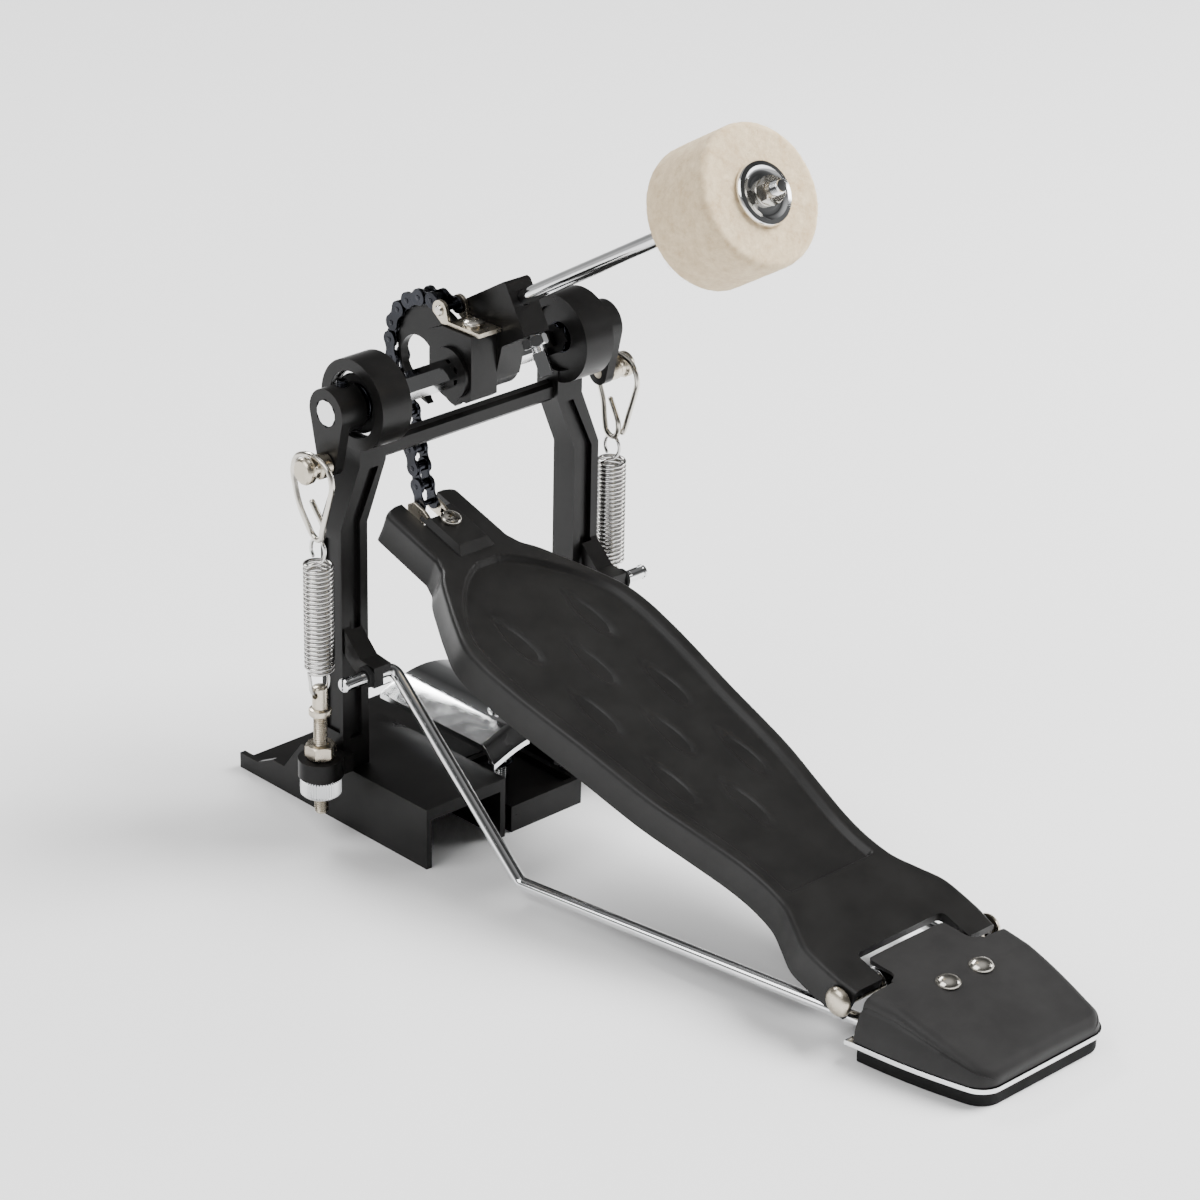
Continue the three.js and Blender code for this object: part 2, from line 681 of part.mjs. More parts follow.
function footboard() {
  // Half widths of the board at distances from the axle, from the toe to the heel arms.
  const stations = [
    [10, 17],
    [10, 31.7],
    [18.4, 31.7],
    [20, 30],
    [20.3, -2],
    [27.4, -13.7],
    [39.6, -35],
    [46, -48],
    [48, -60],
    [46, -86],
    [42.5, -115],
    [38.9, -151],
    [34.2, -174.5],
    [30.3, -192],
    [30, -210],
    [31.2, -219],
    [36.5, -228],
    [41, -241],
    [41, -256],
    [39.8, -264.5],
    [24.5, -264.5],
    [24.5, -249.9],
  ];
  const right = stations.map(([x, y]) => [x, along(y)]);
  const left = [...right].reverse().map(([x, s]) => [-x, s]);
  const edge = [...left, ...right];
  const top = boardAboveHinge;
  const ccw = THREE.ShapeUtils.isClockWise(edge.map(([x, y]) => new THREE.Vector2(x, y))) ? edge.reverse() : edge;
  let body = slabZ(outline(ccw), top - boardDepth, top);
  const under = inset(ccw, 2.6);
  body = cut(body, slabZ(outline(under), top - boardDepth - 1, top - boardSkin));
  // The sunken pan that the foot lies in.
  const pan = [];
  const panStations = stations.slice(4, 15).map(([x, y]) => [x - 4.6, y]);
  panStations[0] = [9, -11];
  panStations[1] = [20.5, -17.5];
  panStations.push([25.6, -211]);
  panStations.push([22, -214.5]);
  for (const [x, y] of panStations) pan.push([x, along(y)]);
  const panEdge = [...[...pan].reverse().map(([x, s]) => [-x, s]), ...pan];
  const panShape = THREE.ShapeUtils.isClockWise(panEdge.map(([x, y]) => new THREE.Vector2(x, y)))
    ? panEdge.reverse()
    : panEdge;
  body = cut(body, slabZ(outline(panShape), top - 2.2, top + 1));
  // Bosses and bores for the heel pin.
  const pinHole = rodX(-60, 60, 0, 0, pinRadiusHeel + 0.15, 20);
  const toeHole = rodZ(0, along(12.8), -10, 20, 2.4, 16);
  // The radius rod runs through the open ends of the heel arms.
  const passage = (x0, x1) => box(x0, x1, along(-272), along(-252), -20, -3.6);
  add("footboard", placeBoard(cut(body, pinHole, toeHole, passage(28, 38.6), passage(-38.6, -28))), blackCoat);
  const pin = turnedX(
    [
      [-45.2, 0],
      [-45.2, 3.5],
      [-44, 6],
      [-41.5, 6.1],
      [-41.5, pinRadiusHeel],
      [41.5, pinRadiusHeel],
      [41.5, 6.1],
      [44, 6],
      [45.2, 3.5],
      [45.2, 0],
    ],
    heelY,
    heelZ,
  );
  add("hinge_pin", pin, nickel);
  // The toe bracket: a strip on the board with two ears beside the chain's lowest pin.
  const near = innerHalf + 2 * plateThick + 0.15 + 0.3 + gap;
  const ear = outline([
    [along(18.2), top + gap],
    [along(19.5), top - 2.5],
    [along(29), top - 2.5],
    [along(31), top + 2],
    [along(28), top + 5],
    [along(21), top + 5],
    [along(18.2), top + 3],
  ]);
  const slot = box(chainX - near, chainX + near, along(17), along(40), top - 9, top + 9);
  const strip = cut(box(-9, 9, along(-3), along(21), top + gap, top + 3), slot);
  const ears = join(slabX(ear, chainX - near - 1.6, chainX - near), slabX(ear, chainX + near, chainX + near + 1.6));
  const cleared = cut(ears, box(-9.9, 9.9, along(-10), along(17.2), top - 9, top + gap));
  const bracket = cut(join(strip, cleared), rodZ(0, along(12.8), -20, 30, 2.4, 16));
  add("toe_bracket", placeBoard(bracket), nickel);
  const head = join(
    rodZ(0, along(12.8), top + 3 + gap, top + 5.4, 4.6, 24),
    rodZ(0, along(12.8), top - boardSkin - 3, top + 4, 2, 16),
  );
  const cross = join(
    box(-2.6, 2.6, along(12.8) - 0.6, along(12.8) + 0.6, top + 4.4, top + 8),
    box(-0.6, 0.6, along(12.8) - 2.6, along(12.8) + 2.6, top + 4.4, top + 8),
  );
  add("toe_screw", placeBoard(cut(head, cross)), nickel);
}

// ---- Heel ----

function heel() {
  const footprint = (grow, front, rear) =>
    outline([
      [-32.5 - grow, rear],
      [32.5 + grow, rear],
      [43.7 + grow, front],
      [-43.7 - grow, front],
    ]);
  add("heel_pad", slabZ(footprint(0, -271.5, -326), 0, 6), rubber);
  // The heel plate carries the hinge knuckle at its front.
  const plateBody = slabZ(footprint(3, -266, -327.5), 6.3, 8.3);
  const tongue = box(-22, 22, heelY - 8, heelY + 2, 6.3, 8.3);
  const knuckle = rodX(-22, 22, heelY, heelZ, 6.2, 28);
  const neck = box(-22, 22, heelY - 4, heelY + 4, 6.3, heelZ - 2);
  const bore = rodX(-30, 30, heelY, heelZ, pinRadiusHeel + 0.15, 20);
  add("heel_plate", cut(join(plateBody, tongue, knuckle, neck), bore), chrome);
  // The cover, high at the front and falling to the rear, over the radius rod's cross portion.
  const side = outline([
    [-326, 8.6],
    [-270, 8.6],
    [-270, 28],
    [-278, 27],
    [-286, 26.7],
    [-326, 15.5],
  ]);
  const plan = footprint(0.3, -270, -326.5);
  let cover = slabX(side, -60, 60).intersect(slabZ(plan, 0, 40));
  // A tongue reaches forward over the hinge knuckle.
  const tongueSide = outline([
    [-272, 8.6],
    [-266.6, 8.6],
    [-266.6, heelZ + 6.6],
    [heelY + 5.8, heelZ + 6.6],
    [heelY + 5.8, heelZ + 8.9],
    [-272, 28],
  ]);
  cover = join(cover, slabX(tongueSide, -21, 21));
  const hollow = box(-38, 38, -293, -260, 8, 16);
  const rivetHoles = [-9.4, 9.4].map((x) => rodZ(x, -284, 20, 40, 2.2 + gap, 16));
  add("heel_cover", cut(cover, hollow, ...rivetHoles), blackCoat);
  for (const [x, letter] of [[-9.4, "left"], [9.4, "right"]]) {
    const profile = [
      [0, 22],
      [2.2, 22],
      [2.2, 27.3],
      [5, 27.3],
      [4.4, 28.7],
      [2.6, 29.6],
      [0, 30],
    ];
    const geometry = new THREE.LatheGeometry(profile.map(([r, z]) => new THREE.Vector2(r, z)), 20);
    add(letter + "_heel_rivet", solid(geometry.rotateX(Math.PI / 2).translate(x, -284, 0)), nickel);
  }
}

// The radius rod: one wire from boss to boss, running down and back to lie under the heel cover.
function radiusRod() {
  const half = [
    [axleEnd, ...rodPivot],
    [axleEnd - 7, ...rodPivot],
    [axleEnd - 13, ...rodPivot],
    [postInner + 12.1, -18, 77.8],
    [postInner + 9.9, -19.8, 75.6],
    [postInner + 9.5, -24, 71],
    [postInner + 8.9, -60, 36.5],
    [postInner + 7.5, -84, 14],
    [postInner + 6.5, -93, 8.4],
    [postInner + 5.5, -101, 7.2],
    [45, -175, 9.2],
    [36, -256, 11.4],
    [34, -272, 11.6],
    [31, -283, 11.6],
    [24, -288, 11.6],
    [8, -288, 11.6],
  ];
  const mirrored = [...half].reverse().map(([x, y, z]) => [-x, y, z]);
  add("radius_rod", wire(smooth([...half, ...mirrored], 0.3), 2.8, 56, 8), chrome);
  for (const [side, letter] of [[-1, "left"], [1, "right"]]) {
    const from = side > 0 ? axleEnd - 4.8 : 1.8 - axleEnd;
    const clip = rodX(from, from + 3, ...rodPivot, 5.2, 20);
    add(letter + "_rod_clip", cut(clip, rodX(from - 9, from + 12, ...rodPivot, rodHole, 20)), nickel);
  }
}

// ---- Hoop clamp ----

function hoopClamp() {
  // An arched plate: high in the middle, low at its sides, with a lip turned down at the player's end.
  const crown = 43;
  const edge = 37;
  const half = 24;
  const arch = new THREE.Shape();
  const steps = 12;
  const height = (x) => edge + (crown - edge) * Math.cos((x / half) * (Math.PI / 2));
  for (let i = 0; i <= steps; i += 1) {
    const x = -half + (2 * half * i) / steps;
    if (i === 0) arch.moveTo(x, height(x));
    else arch.lineTo(x, height(x));
  }
  for (let i = steps; i >= 0; i -= 1) {
    const x = -half + (2 * half * i) / steps;
    arch.lineTo(x, height(x) - 2.6);
  }
  const drop = box(-half, half, -43, -40, 31, edge + 0.5);
  const slot = join(rodZ(0, -20.6, 20, 60, 4.2), box(-4.2, 4.2, -50, -20.6, 20, 60));
  const plateBody = join(slabY(arch, -43, 30), drop);
  add("hoop_clamp_plate", cut(plateBody, slot), chrome);
  add("hoop_pad", box(-19, 19, -3, 28, 9.3, 12), rubber);
  // The clamp bolt stands in the base; a spring under the plate lifts it.
  const bolt = join(rodZ(0, -20.6, 5, 46, 2.9, 20), rodZ(0, -20.6, 44.2, 48.5, 6.4, 24));
  add("hoop_clamp_bolt", bolt, chrome);
  const coil = cut(rodZ(0, -20.6, 12.4, 38, 5.6, 24), rodZ(0, -20.6, 10, 40, 3.4, 20));
  add("hoop_clamp_spring", coil, blueSteel);
}

base();
upright(-1, "left_upright");
upright(1, "right_upright");
crossBar();
bearings();
axle();
for (const [side, letter] of [[-1, "left"], [1, "right"]]) {
  crank(side, letter);
  springSet(side, letter);
  springHook(side, letter);
  tension(side, letter);
}
hub();
beater();
chain();
footboard();
heel();
radiusRod();
hoopClamp();

export default group;
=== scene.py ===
import math
import random

import bmesh
import bpy
from mathutils import Matrix, Vector
from mathutils import noise as field


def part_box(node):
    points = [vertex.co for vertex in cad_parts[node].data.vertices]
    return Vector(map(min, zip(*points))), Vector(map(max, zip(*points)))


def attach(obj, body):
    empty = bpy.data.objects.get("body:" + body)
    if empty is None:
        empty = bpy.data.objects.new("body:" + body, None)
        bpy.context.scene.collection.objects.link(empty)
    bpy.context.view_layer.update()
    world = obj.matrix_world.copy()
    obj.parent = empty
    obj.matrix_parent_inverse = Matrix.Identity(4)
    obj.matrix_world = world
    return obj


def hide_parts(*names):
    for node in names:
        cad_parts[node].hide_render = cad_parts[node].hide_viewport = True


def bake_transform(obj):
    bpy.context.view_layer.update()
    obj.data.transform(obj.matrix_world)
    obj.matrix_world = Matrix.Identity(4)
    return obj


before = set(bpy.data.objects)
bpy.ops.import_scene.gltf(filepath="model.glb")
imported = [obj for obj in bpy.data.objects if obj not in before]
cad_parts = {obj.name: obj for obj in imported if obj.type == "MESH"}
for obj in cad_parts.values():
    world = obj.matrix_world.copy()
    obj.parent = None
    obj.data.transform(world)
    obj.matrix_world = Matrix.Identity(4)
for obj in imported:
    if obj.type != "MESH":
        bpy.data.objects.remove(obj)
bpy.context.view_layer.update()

# A bass drum pedal around its CAD frame. Helpers take millimetres and build in metres.
MM = 0.001
TAU = 2 * math.pi
SIDES = (("left", -1), ("right", 1))


def middle(node):
    """The middle of a CAD node's box, in millimetres."""
    low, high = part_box(node)
    return [round((a + b) / 2 / MM, 3) for a, b in zip(low, high)]


AXLE_Z = middle("axle_shaft")[2]
AXLE_END = round(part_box("axle_shaft")[1][0] / MM, 3)
AXLE_HEX = 6.25
CRANK_DROP = 22
_, HEEL_Y, HEEL_Z = middle("hinge_pin")
BOARD_TILT = math.radians(17.735)
BOARD_TOP = 7.32
SPRING_X = middle("right_tension_nut")[0]
EYE_Z = 65
_, ROD_PIVOT_Y, ROD_PIVOT_Z = middle("right_rod_clip")
CLAMP_Y = middle("hoop_clamp_bolt")[1]
CHAIN_X = middle("chain_run")[0]
CHAIN_R = 25.5
PITCH = 8
CAM_Y = 18
WRAPPED, LOOSE, HANGING = 5, 2, 8
EAR_NEAR, EAR_THICK = 4.45, 1.6
SCREW_Y = middle("chain_anchor_screw")[1]
BEATER_X = middle("beater_felt")[0]
ROD_RISE = math.radians(31)
ROD_R = 3.3
RIVET_X, RIVET_Y, _ = middle("right_heel_rivet")


# ---- Mesh helpers ----

def mesh_object(name, verts, faces):
    mesh = bpy.data.meshes.new(name)
    mesh.from_pydata([Vector(v) * MM for v in verts], [], faces)
    mesh.validate()
    work = bmesh.new()
    work.from_mesh(mesh)
    bmesh.ops.recalc_face_normals(work, faces=work.faces)
    work.to_mesh(mesh)
    work.free()
    obj = bpy.data.objects.new(name, mesh)
    bpy.context.collection.objects.link(obj)
    return obj


def ring_walls(rings, count):
    """Faces between neighbouring rings of count points each."""
    faces = []
    for row in range(rings - 1):
        low, high = row * count, (row + 1) * count
        for i in range(count):
            j = (i + 1) % count
            faces.append((low + i, low + j, high + j, high + i))
    return faces


def loft(rings, name="part"):
    """A closed solid through rings of equally many points, with a face at each end."""
    count = len(rings[0])
    verts = [point for ring in rings for point in ring]
    faces = ring_walls(len(rings), count)
    faces.append(tuple(range(count)))
    faces.append(tuple(range(len(verts) - 1, len(verts) - count - 1, -1)))
    return mesh_object(name, verts, faces)


PLANES = {
    "X": lambda u, v, w: (w, u, v),
    "Y": lambda u, v, w: (u, w, v),
    "Z": lambda u, v, w: (u, v, w),
}


def prism(points, axis, low, high, name="part"):
    """An outline in the plane across axis, given thickness along it."""
    place = PLANES[axis]
    return loft([[place(u, v, w) for u, v in points] for w in (low, high)], name)


def box(x0, x1, y0, y1, z0, z1, name="part"):
    return prism([(x0, y0), (x1, y0), (x1, y1), (x0, y1)], "Z", z0, z1, name)


def arc(cx, cy, radius, start, end, steps):
    """Points of an arc between two angles in degrees."""
    angles = [math.radians(start + (end - start) * k / steps) for k in range(steps + 1)]
    return [(cx + radius * math.cos(a), cy + radius * math.sin(a)) for a in angles]


def rounding(distance, radius):
    """How far a rounded edge has fallen away at a distance in from its end."""
    t = min(1, max(0, 1 - distance / radius))
    return radius * (1 - math.sqrt(1 - t * t))


def rounded_outline(corners, radius, steps=8):
    """A closed outline whose corners are all rounded to a radius."""
    path = []
    count = len(corners)
    for i in range(count):
        before, corner, after = (Vector(corners[(i + k) % count]) for k in (-1, 0, 1))
        into, out = (before - corner).normalized(), (after - corner).normalized()
        reach = radius / math.tan(into.angle(out) / 2)
        path += bend(corner, into * reach, out * reach, steps)
    return [tuple(p) for p in path]


def rounded_box(x0, x1, y0, y1, z0, z1, radius):
    return prism(rounded_outline([(x0, y0), (x1, y0), (x1, y1), (x0, y1)], radius), "Z", z0, z1)


def frame_along(direction):
    """Two unit vectors across a direction."""
    d = Vector(direction).normalized()
    side = Vector((1, 0, 0)) if abs(d.x) < 0.9 else Vector((0, 1, 0))
    a = d.cross(side).normalized()
    return a, d.cross(a).normalized()


def circle(centre, a, b, radius, sides):
    """Points round a centre in the plane of two unit vectors."""
    angles = (TAU * i / sides for i in range(sides))
    return [centre + (a * math.cos(angle) + b * math.sin(angle)) * radius for angle in angles]


def lathe(profile, origin, direction, sides=64):
    """Turns (radius, distance) pairs about a direction. Ends on the axis become caps."""
    origin = Vector(origin)
    d = Vector(direction).normalized()
    a, b = frame_along(d)
    verts, rows = [], []
    for radius, distance in profile:
        centre = origin + d * distance
        if radius == 0:
            rows.append([len(verts)] * sides)
            verts.append(centre)
            continue
        rows.append(list(range(len(verts), len(verts) + sides)))
        verts += circle(centre, a, b, radius, sides)
    faces = []
    pairs = list(zip(rows, rows[1:]))
    if profile[0][0] > 0:
        pairs.append((rows[-1], rows[0]))
    for low, high in pairs:
        for i in range(sides):
            j = (i + 1) % sides
            corners = [low[i], low[j], high[j], high[i]]
            face = [c for k, c in enumerate(corners) if c not in corners[:k]]
            if len(face) > 2:
                faces.append(face)
    return mesh_object("part", verts, faces)


def rod(start, end, radius, sides=48):
    start, end = Vector(start), Vector(end)
    length = (end - start).length
    return lathe([(0, 0), (radius, 0), (radius, length), (0, length)], start, end - start, sides)


def bar(place, axis, low, high, radius, sides=48):
    """A cylinder along an axis, with its middle line at a place in the plane across it."""
    return rod(PLANES[axis](*place, low), PLANES[axis](*place, high), radius, sides)


def smooth_path(points, steps):
    """A Catmull-Rom curve through the points."""
    points = [Vector(p) for p in points]
    last = len(points) - 1
    path = []
    for i in range(last):
        p0, p1, p2, p3 = points[max(i - 1, 0)], points[i], points[i + 1], points[min(i + 2, last)]
        for k in range(steps):
            t = k / steps
            bow = (2 * p0 - 5 * p1 + 4 * p2 - p3) * t * t + (3 * p1 - p0 - 3 * p2 + p3) * t ** 3
            path.append(0.5 * (2 * p1 + (p2 - p0) * t + bow))
    path.append(points[-1])
    return path


def bend(corner, into, out, steps):
    """A curve that leaves a corner's two sides at the offsets into and out."""
    start, end = corner + into, corner + out
    ts = [k / steps for k in range(steps + 1)]
    return [start.lerp(corner, t).lerp(corner.lerp(end, t), t) for t in ts]


def rounded_path(points, radius, steps):
    """Straight runs joined by bends of one radius, which take up less than half of each run."""
    points = [Vector(p) for p in points]
    path = [points[0]]
    for before, corner, after in zip(points, points[1:], points[2:]):
        into, out = before - corner, after - corner
        reach = min(radius / math.tan(into.angle(out) / 2), into.length * 0.49, out.length * 0.49)
        path += bend(corner, into.normalized() * reach, out.normalized() * reach, steps)
    path.append(points[-1])
    return path


def sweep(path, radius, sides):
    """A round wire along a path, with domed ends."""
    path = [Vector(p) for p in path]
    last = len(path) - 1
    tangents = [(path[min(i + 1, last)] - path[max(i - 1, 0)]).normalized() for i in range(last + 1)]
    across, _ = frame_along(tangents[0])
    rings = []
    for point, tangent in zip(path, tangents):
        across = (across - tangent * across.dot(tangent)).normalized()
        rings.append(circle(point, across, tangent.cross(across), radius, sides))

    def dome(ring, centre, outward, angle):
        shift = outward * radius * math.sin(angle)
        return [centre + (point - centre) * math.cos(angle) + shift for point in ring]

    angles = [math.radians(angle) for angle in (22.5, 45, 67.5)]
    low_dome = [dome(rings[0], path[0], -tangents[0], angle) for angle in reversed(angles)]
    high_dome = [dome(rings[-1], path[-1], tangents[-1], angle) for angle in angles]
    rings = low_dome + rings + high_dome
    verts = [point for ring in rings for point in ring]
    faces = ring_walls(len(rings), sides)
    tip = len(verts)
    verts += [path[0] - tangents[0] * radius, path[-1] + tangents[-1] * radius]
    top = tip - sides
    for i in range(sides):
        j = (i + 1) % sides
        faces += [(tip, j, i), (tip + 1, top + i, top + j)]
    return mesh_object("wire", verts, faces)


def helix(x, y, z0, z1, radius, turns, steps, start=0.0):
    """Points of an upright coil."""
    points = []
    for k in range(turns * steps + 1):
        t = k / (turns * steps)
        angle = TAU * turns * t + start
        points.append((x + radius * math.cos(angle), y + radius * math.sin(angle), z0 + (z1 - z0) * t))
    return points


def ridged(origin, direction, length, height_at, rows, sides):
    """A closed cylinder whose radius is height_at(turn, distance), for threads and knurls."""
    origin, d = Vector(origin), Vector(direction).normalized()
    a, b = frame_along(d)
    spokes = circle(Vector((0, 0, 0)), a, b, 1, sides)
    rings = []
    for row in range(rows + 1):
        distance = length * row / rows
        centre = origin + d * distance
        rings.append([centre + spoke * height_at(i / sides, distance) for i, spoke in enumerate(spokes)])
    return loft(rings)


def thread(origin, direction, length, radius, pitch):
    depth = 0.62 * pitch

    def height_at(turn, distance):
        phase = (distance / pitch - turn) % 1
        ridge = 1 - abs(2 * phase - 1)
        fade = min(1, distance / pitch, (length - distance) / pitch)
        return radius - depth * (1 - ridge * fade)

    return ridged(origin, direction, length, height_at, int(length / pitch * 8), 40)


def combine(base, adds=(), cuts=(), keeps=()):
    """Keeps what closed solids share with base, joins some and cuts others, and returns base."""
    for tools, operation in ((keeps, "INTERSECT"), (adds, "UNION"), (cuts, "DIFFERENCE")):
        for tool in tools:
            modifier = base.modifiers.new("bool", "BOOLEAN")
            modifier.operation = operation
            modifier.solver = "MANIFOLD"
            modifier.object = tool
            depsgraph = bpy.context.evaluated_depsgraph_get()
            result = bpy.data.meshes.new_from_object(base.evaluated_get(depsgraph))
            base.modifiers.clear()
            old = base.data
            base.data = result
            bpy.data.meshes.remove(old)
            bpy.data.objects.remove(tool)
    return base


def join(parts):
    """Several closed shells as one object."""
    work = bmesh.new()
    for part in parts:
        work.from_mesh(part.data)
    mesh = bpy.data.meshes.new("joined")
    work.to_mesh(mesh)
    work.free()
    for part in parts:
        bpy.data.objects.remove(part)
    obj = bpy.data.objects.new("joined", mesh)
    bpy.context.collection.objects.link(obj)
    return obj


def soften(obj, bevel, angle, segments=3):
    """Small rounded edges, and smooth shading between them."""
    if bevel:
        modifier = obj.modifiers.new("edge", "BEVEL")
        modifier.width = bevel * MM
        modifier.segments = segments
        modifier.limit_method = "ANGLE"
        modifier.angle_limit = math.radians(angle)
        modifier.harden_normals = False
    if obj.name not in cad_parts:
        obj.data.shade_smooth()
        obj.data.set_sharp_from_angle(angle=math.radians(angle))
        if bevel:
            weighted = obj.modifiers.new("normals", "WEIGHTED_NORMAL")
            weighted.keep_sharp = False


def piece(obj, name, body, slot, material, replaces=(), bevel=0.4, angle=32):
    """Names a piece, finishes it, and puts it on its body in place of the CAD nodes it stands for."""
    obj.name = name
    obj.data.materials.clear()
    obj.data.materials.append(material)
    soften(obj, bevel, angle)
    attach(obj, body)
    if replaces:
        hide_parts(*replaces)


def dress(node, material, bevel):
    """A carried-over CAD node gets its material and softened edges."""
    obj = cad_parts[node]
    for slot in obj.material_slots:
        slot.material = material
    soften(obj, bevel, 32, 2)


# ---- Materials ----

def node_material(name, color, rough, metal=0.0):
    material = bpy.data.materials.new(name)
    material.use_nodes = True
    shader = material.node_tree.nodes["Principled BSDF"]
    shader.inputs["Base Color"].default_value = (*color, 1)
    shader.inputs["Roughness"].default_value = rough
    shader.inputs["Metallic"].default_value = metal
    return material, material.node_tree, shader


def noise(tree, scale, detail=4.0, rough=0.6):
    """A noise texture laid out in object space."""
    coords = tree.nodes.new("ShaderNodeTexCoord")
    texture = tree.nodes.new("ShaderNodeTexNoise")
    texture.inputs["Scale"].default_value = scale
    texture.inputs["Detail"].default_value = detail
    texture.inputs["Roughness"].default_value = rough
    tree.links.new(coords.outputs["Object"], texture.inputs["Vector"])
    return texture


def vary(tree, socket, texture, low, high):
    """Drives a value socket between two values by a texture."""
    span = tree.nodes.new("ShaderNodeMapRange")
    span.inputs["From Min"].default_value = 0.3
    span.inputs["From Max"].default_value = 0.7
    span.inputs["To Min"].default_value = low
    span.inputs["To Max"].default_value = high
    tree.links.new(texture.outputs["Fac"], span.inputs["Value"])
    tree.links.new(span.outputs["Result"], socket)


def tint(tree, socket, texture, low, high):
    """Drives a colour socket between two colours by a texture."""
    ramp = tree.nodes.new("ShaderNodeValToRGB")
    for element, position, color in zip(ramp.color_ramp.elements, (0.3, 0.7), (low, high)):
        element.position = position
        element.color = (*color, 1)
    tree.links.new(texture.outputs["Fac"], ramp.inputs["Fac"])
    tree.links.new(ramp.outputs["Color"], socket)


def bump(tree, shader, texture, strength, distance):
    node = tree.nodes.new("ShaderNodeBump")
    node.inputs["Strength"].default_value = strength
    node.inputs["Distance"].default_value = distance
    tree.links.new(texture.outputs["Fac"], node.inputs["Height"])
    tree.links.new(node.outputs["Normal"], shader.inputs["Normal"])


def coated(name, dark, light, rough, grain, strength, gloss):
    """Powder coat or moulded plastic: a fine orange-peel skin with faint mottling."""
    material, tree, shader = node_material(name, dark, rough[0])
    shader.inputs["Specular IOR Level"].default_value = gloss
    tint(tree, shader.inputs["Base Color"], noise(tree, 60), dark, light)
    vary(tree, shader.inputs["Roughness"], noise(tree, 35), *rough)
    bump(tree, shader, noise(tree, grain, 3), strength, 0.0002)
    return material


def plated(name, dark, light, rough):
    """Polished or satin plating, with faint handling haze."""
    material, tree, shader = node_material(name, light, rough[0], 1.0)
    tint(tree, shader.inputs["Base Color"], noise(tree, 45), dark, light)
    vary(tree, shader.inputs["Roughness"], noise(tree, 160), *rough)
    bump(tree, shader, noise(tree, 700, 2), 0.02, 0.0001)
    return material


def felt_material(name, dark, light):
    """Pressed wool: mottled, matt and softly lit at grazing angles."""
    material, tree, shader = node_material(name, light, 0.95)
    tint(tree, shader.inputs["Base Color"], noise(tree, 220, 8, 0.75), dark, light)
    shader.inputs["Sheen Weight"].default_value = 0.15
    shader.inputs["Sheen Roughness"].default_value = 0.5
    bump(tree, shader, noise(tree, 900, 8, 0.8), 0.6, 0.0006)
    return material


COAT = coated("black_coat", (0.0035, 0.0033, 0.0032), (0.007, 0.0067, 0.0065), (0.27, 0.36), 1400, 0.1, 0.2)
BOARD = coated("board_coat", (0.0075, 0.0072, 0.007), (0.012, 0.0116, 0.0112), (0.36, 0.46), 1900, 0.18, 0.3)
COVER = coated("cover_plastic", (0.017, 0.0165, 0.0165), (0.023, 0.0225, 0.0222), (0.44, 0.54), 2600, 0.25,
               0.26)
RUBBER = coated("rubber", (0.004, 0.004, 0.0042), (0.008, 0.008, 0.008), (0.65, 0.8), 900, 0.3, 0.2)
CHROME = plated("chrome", (0.80, 0.81, 0.82), (0.90, 0.905, 0.91), (0.04, 0.09))
NICKEL = plated("nickel", (0.60, 0.57, 0.51), (0.74, 0.71, 0.65), (0.16, 0.27))
SPRING_STEEL = plated("spring_steel", (0.62, 0.61, 0.59), (0.76, 0.75, 0.73), (0.14, 0.24))
ZINC = plated("zinc_plate", (0.50, 0.45, 0.36), (0.66, 0.60, 0.50), (0.22, 0.34))
BLUED = plated("chain_steel", (0.014, 0.0145, 0.017), (0.04, 0.042, 0.05), (0.18, 0.32))
FELT = felt_material("wool_felt", (0.58, 0.42, 0.24), (0.86, 0.71, 0.48))
FIBRE = felt_material("wool_fibre", (0.70, 0.58, 0.42), (0.88, 0.79, 0.62))


# ---- Screws and nuts ----

def cross_head(centre, direction, radius, height, shank=6, turn=0.4):
    """A pan head with a cross recess."""
    wall = height * 0.4
    crown = [(radius * x, wall + (height - wall) * z) for x, z in arc(0, 0, 1, 0, 75, 5)]
    profile = [(0, -shank), (2, -shank), (2, 0), (radius, 0)] + crown + [(0, height)]
    head = lathe(profile, centre, direction, 48)
    d = Vector(direction).normalized()
    a, b = frame_along(d)
    u = a * math.cos(turn) + b * math.sin(turn)
    v = d.cross(u)
    top = Vector(centre) + d * height
    long, narrow = radius * 0.62, radius * 0.13
    corners = ((-1, -1), (1, -1), (1, 1), (-1, 1))
    blades = []
    for lengthways, across in ((u, v), (v, u)):
        rings = []
        for depth, taper in ((-0.75, 0.55), (0.5, 1.0)):
            centre = top + d * depth * height
            rings.append([centre + lengthways * x * long * taper + across * y * narrow for x, y in corners])
        blades.append(loft(rings))
    return combine(head, cuts=blades)


def hex_nut(start, direction, height, corner, bore):
    """A hex nut with its corners chamfered."""
    start, d = Vector(start), Vector(direction).normalized()
    nut = rod(start, start + d * height, corner, 6)
    flat, wide, over, chamfer = corner * math.cos(math.pi / 6), corner + 0.2, 0.01, 0.9
    limit = lathe([(0, -over), (flat, -over), (wide, chamfer), (wide, height - chamfer), (flat, height + over),
                   (0, height + over)], start, d)
    hole = rod(start - d * 2, start + d * (height + 2), bore, 40)
    return combine(nut, cuts=[hole], keeps=[limit])


# ---- Uprights ----

LUG_LOW, LUG_HIGH = 29.5, 37.7


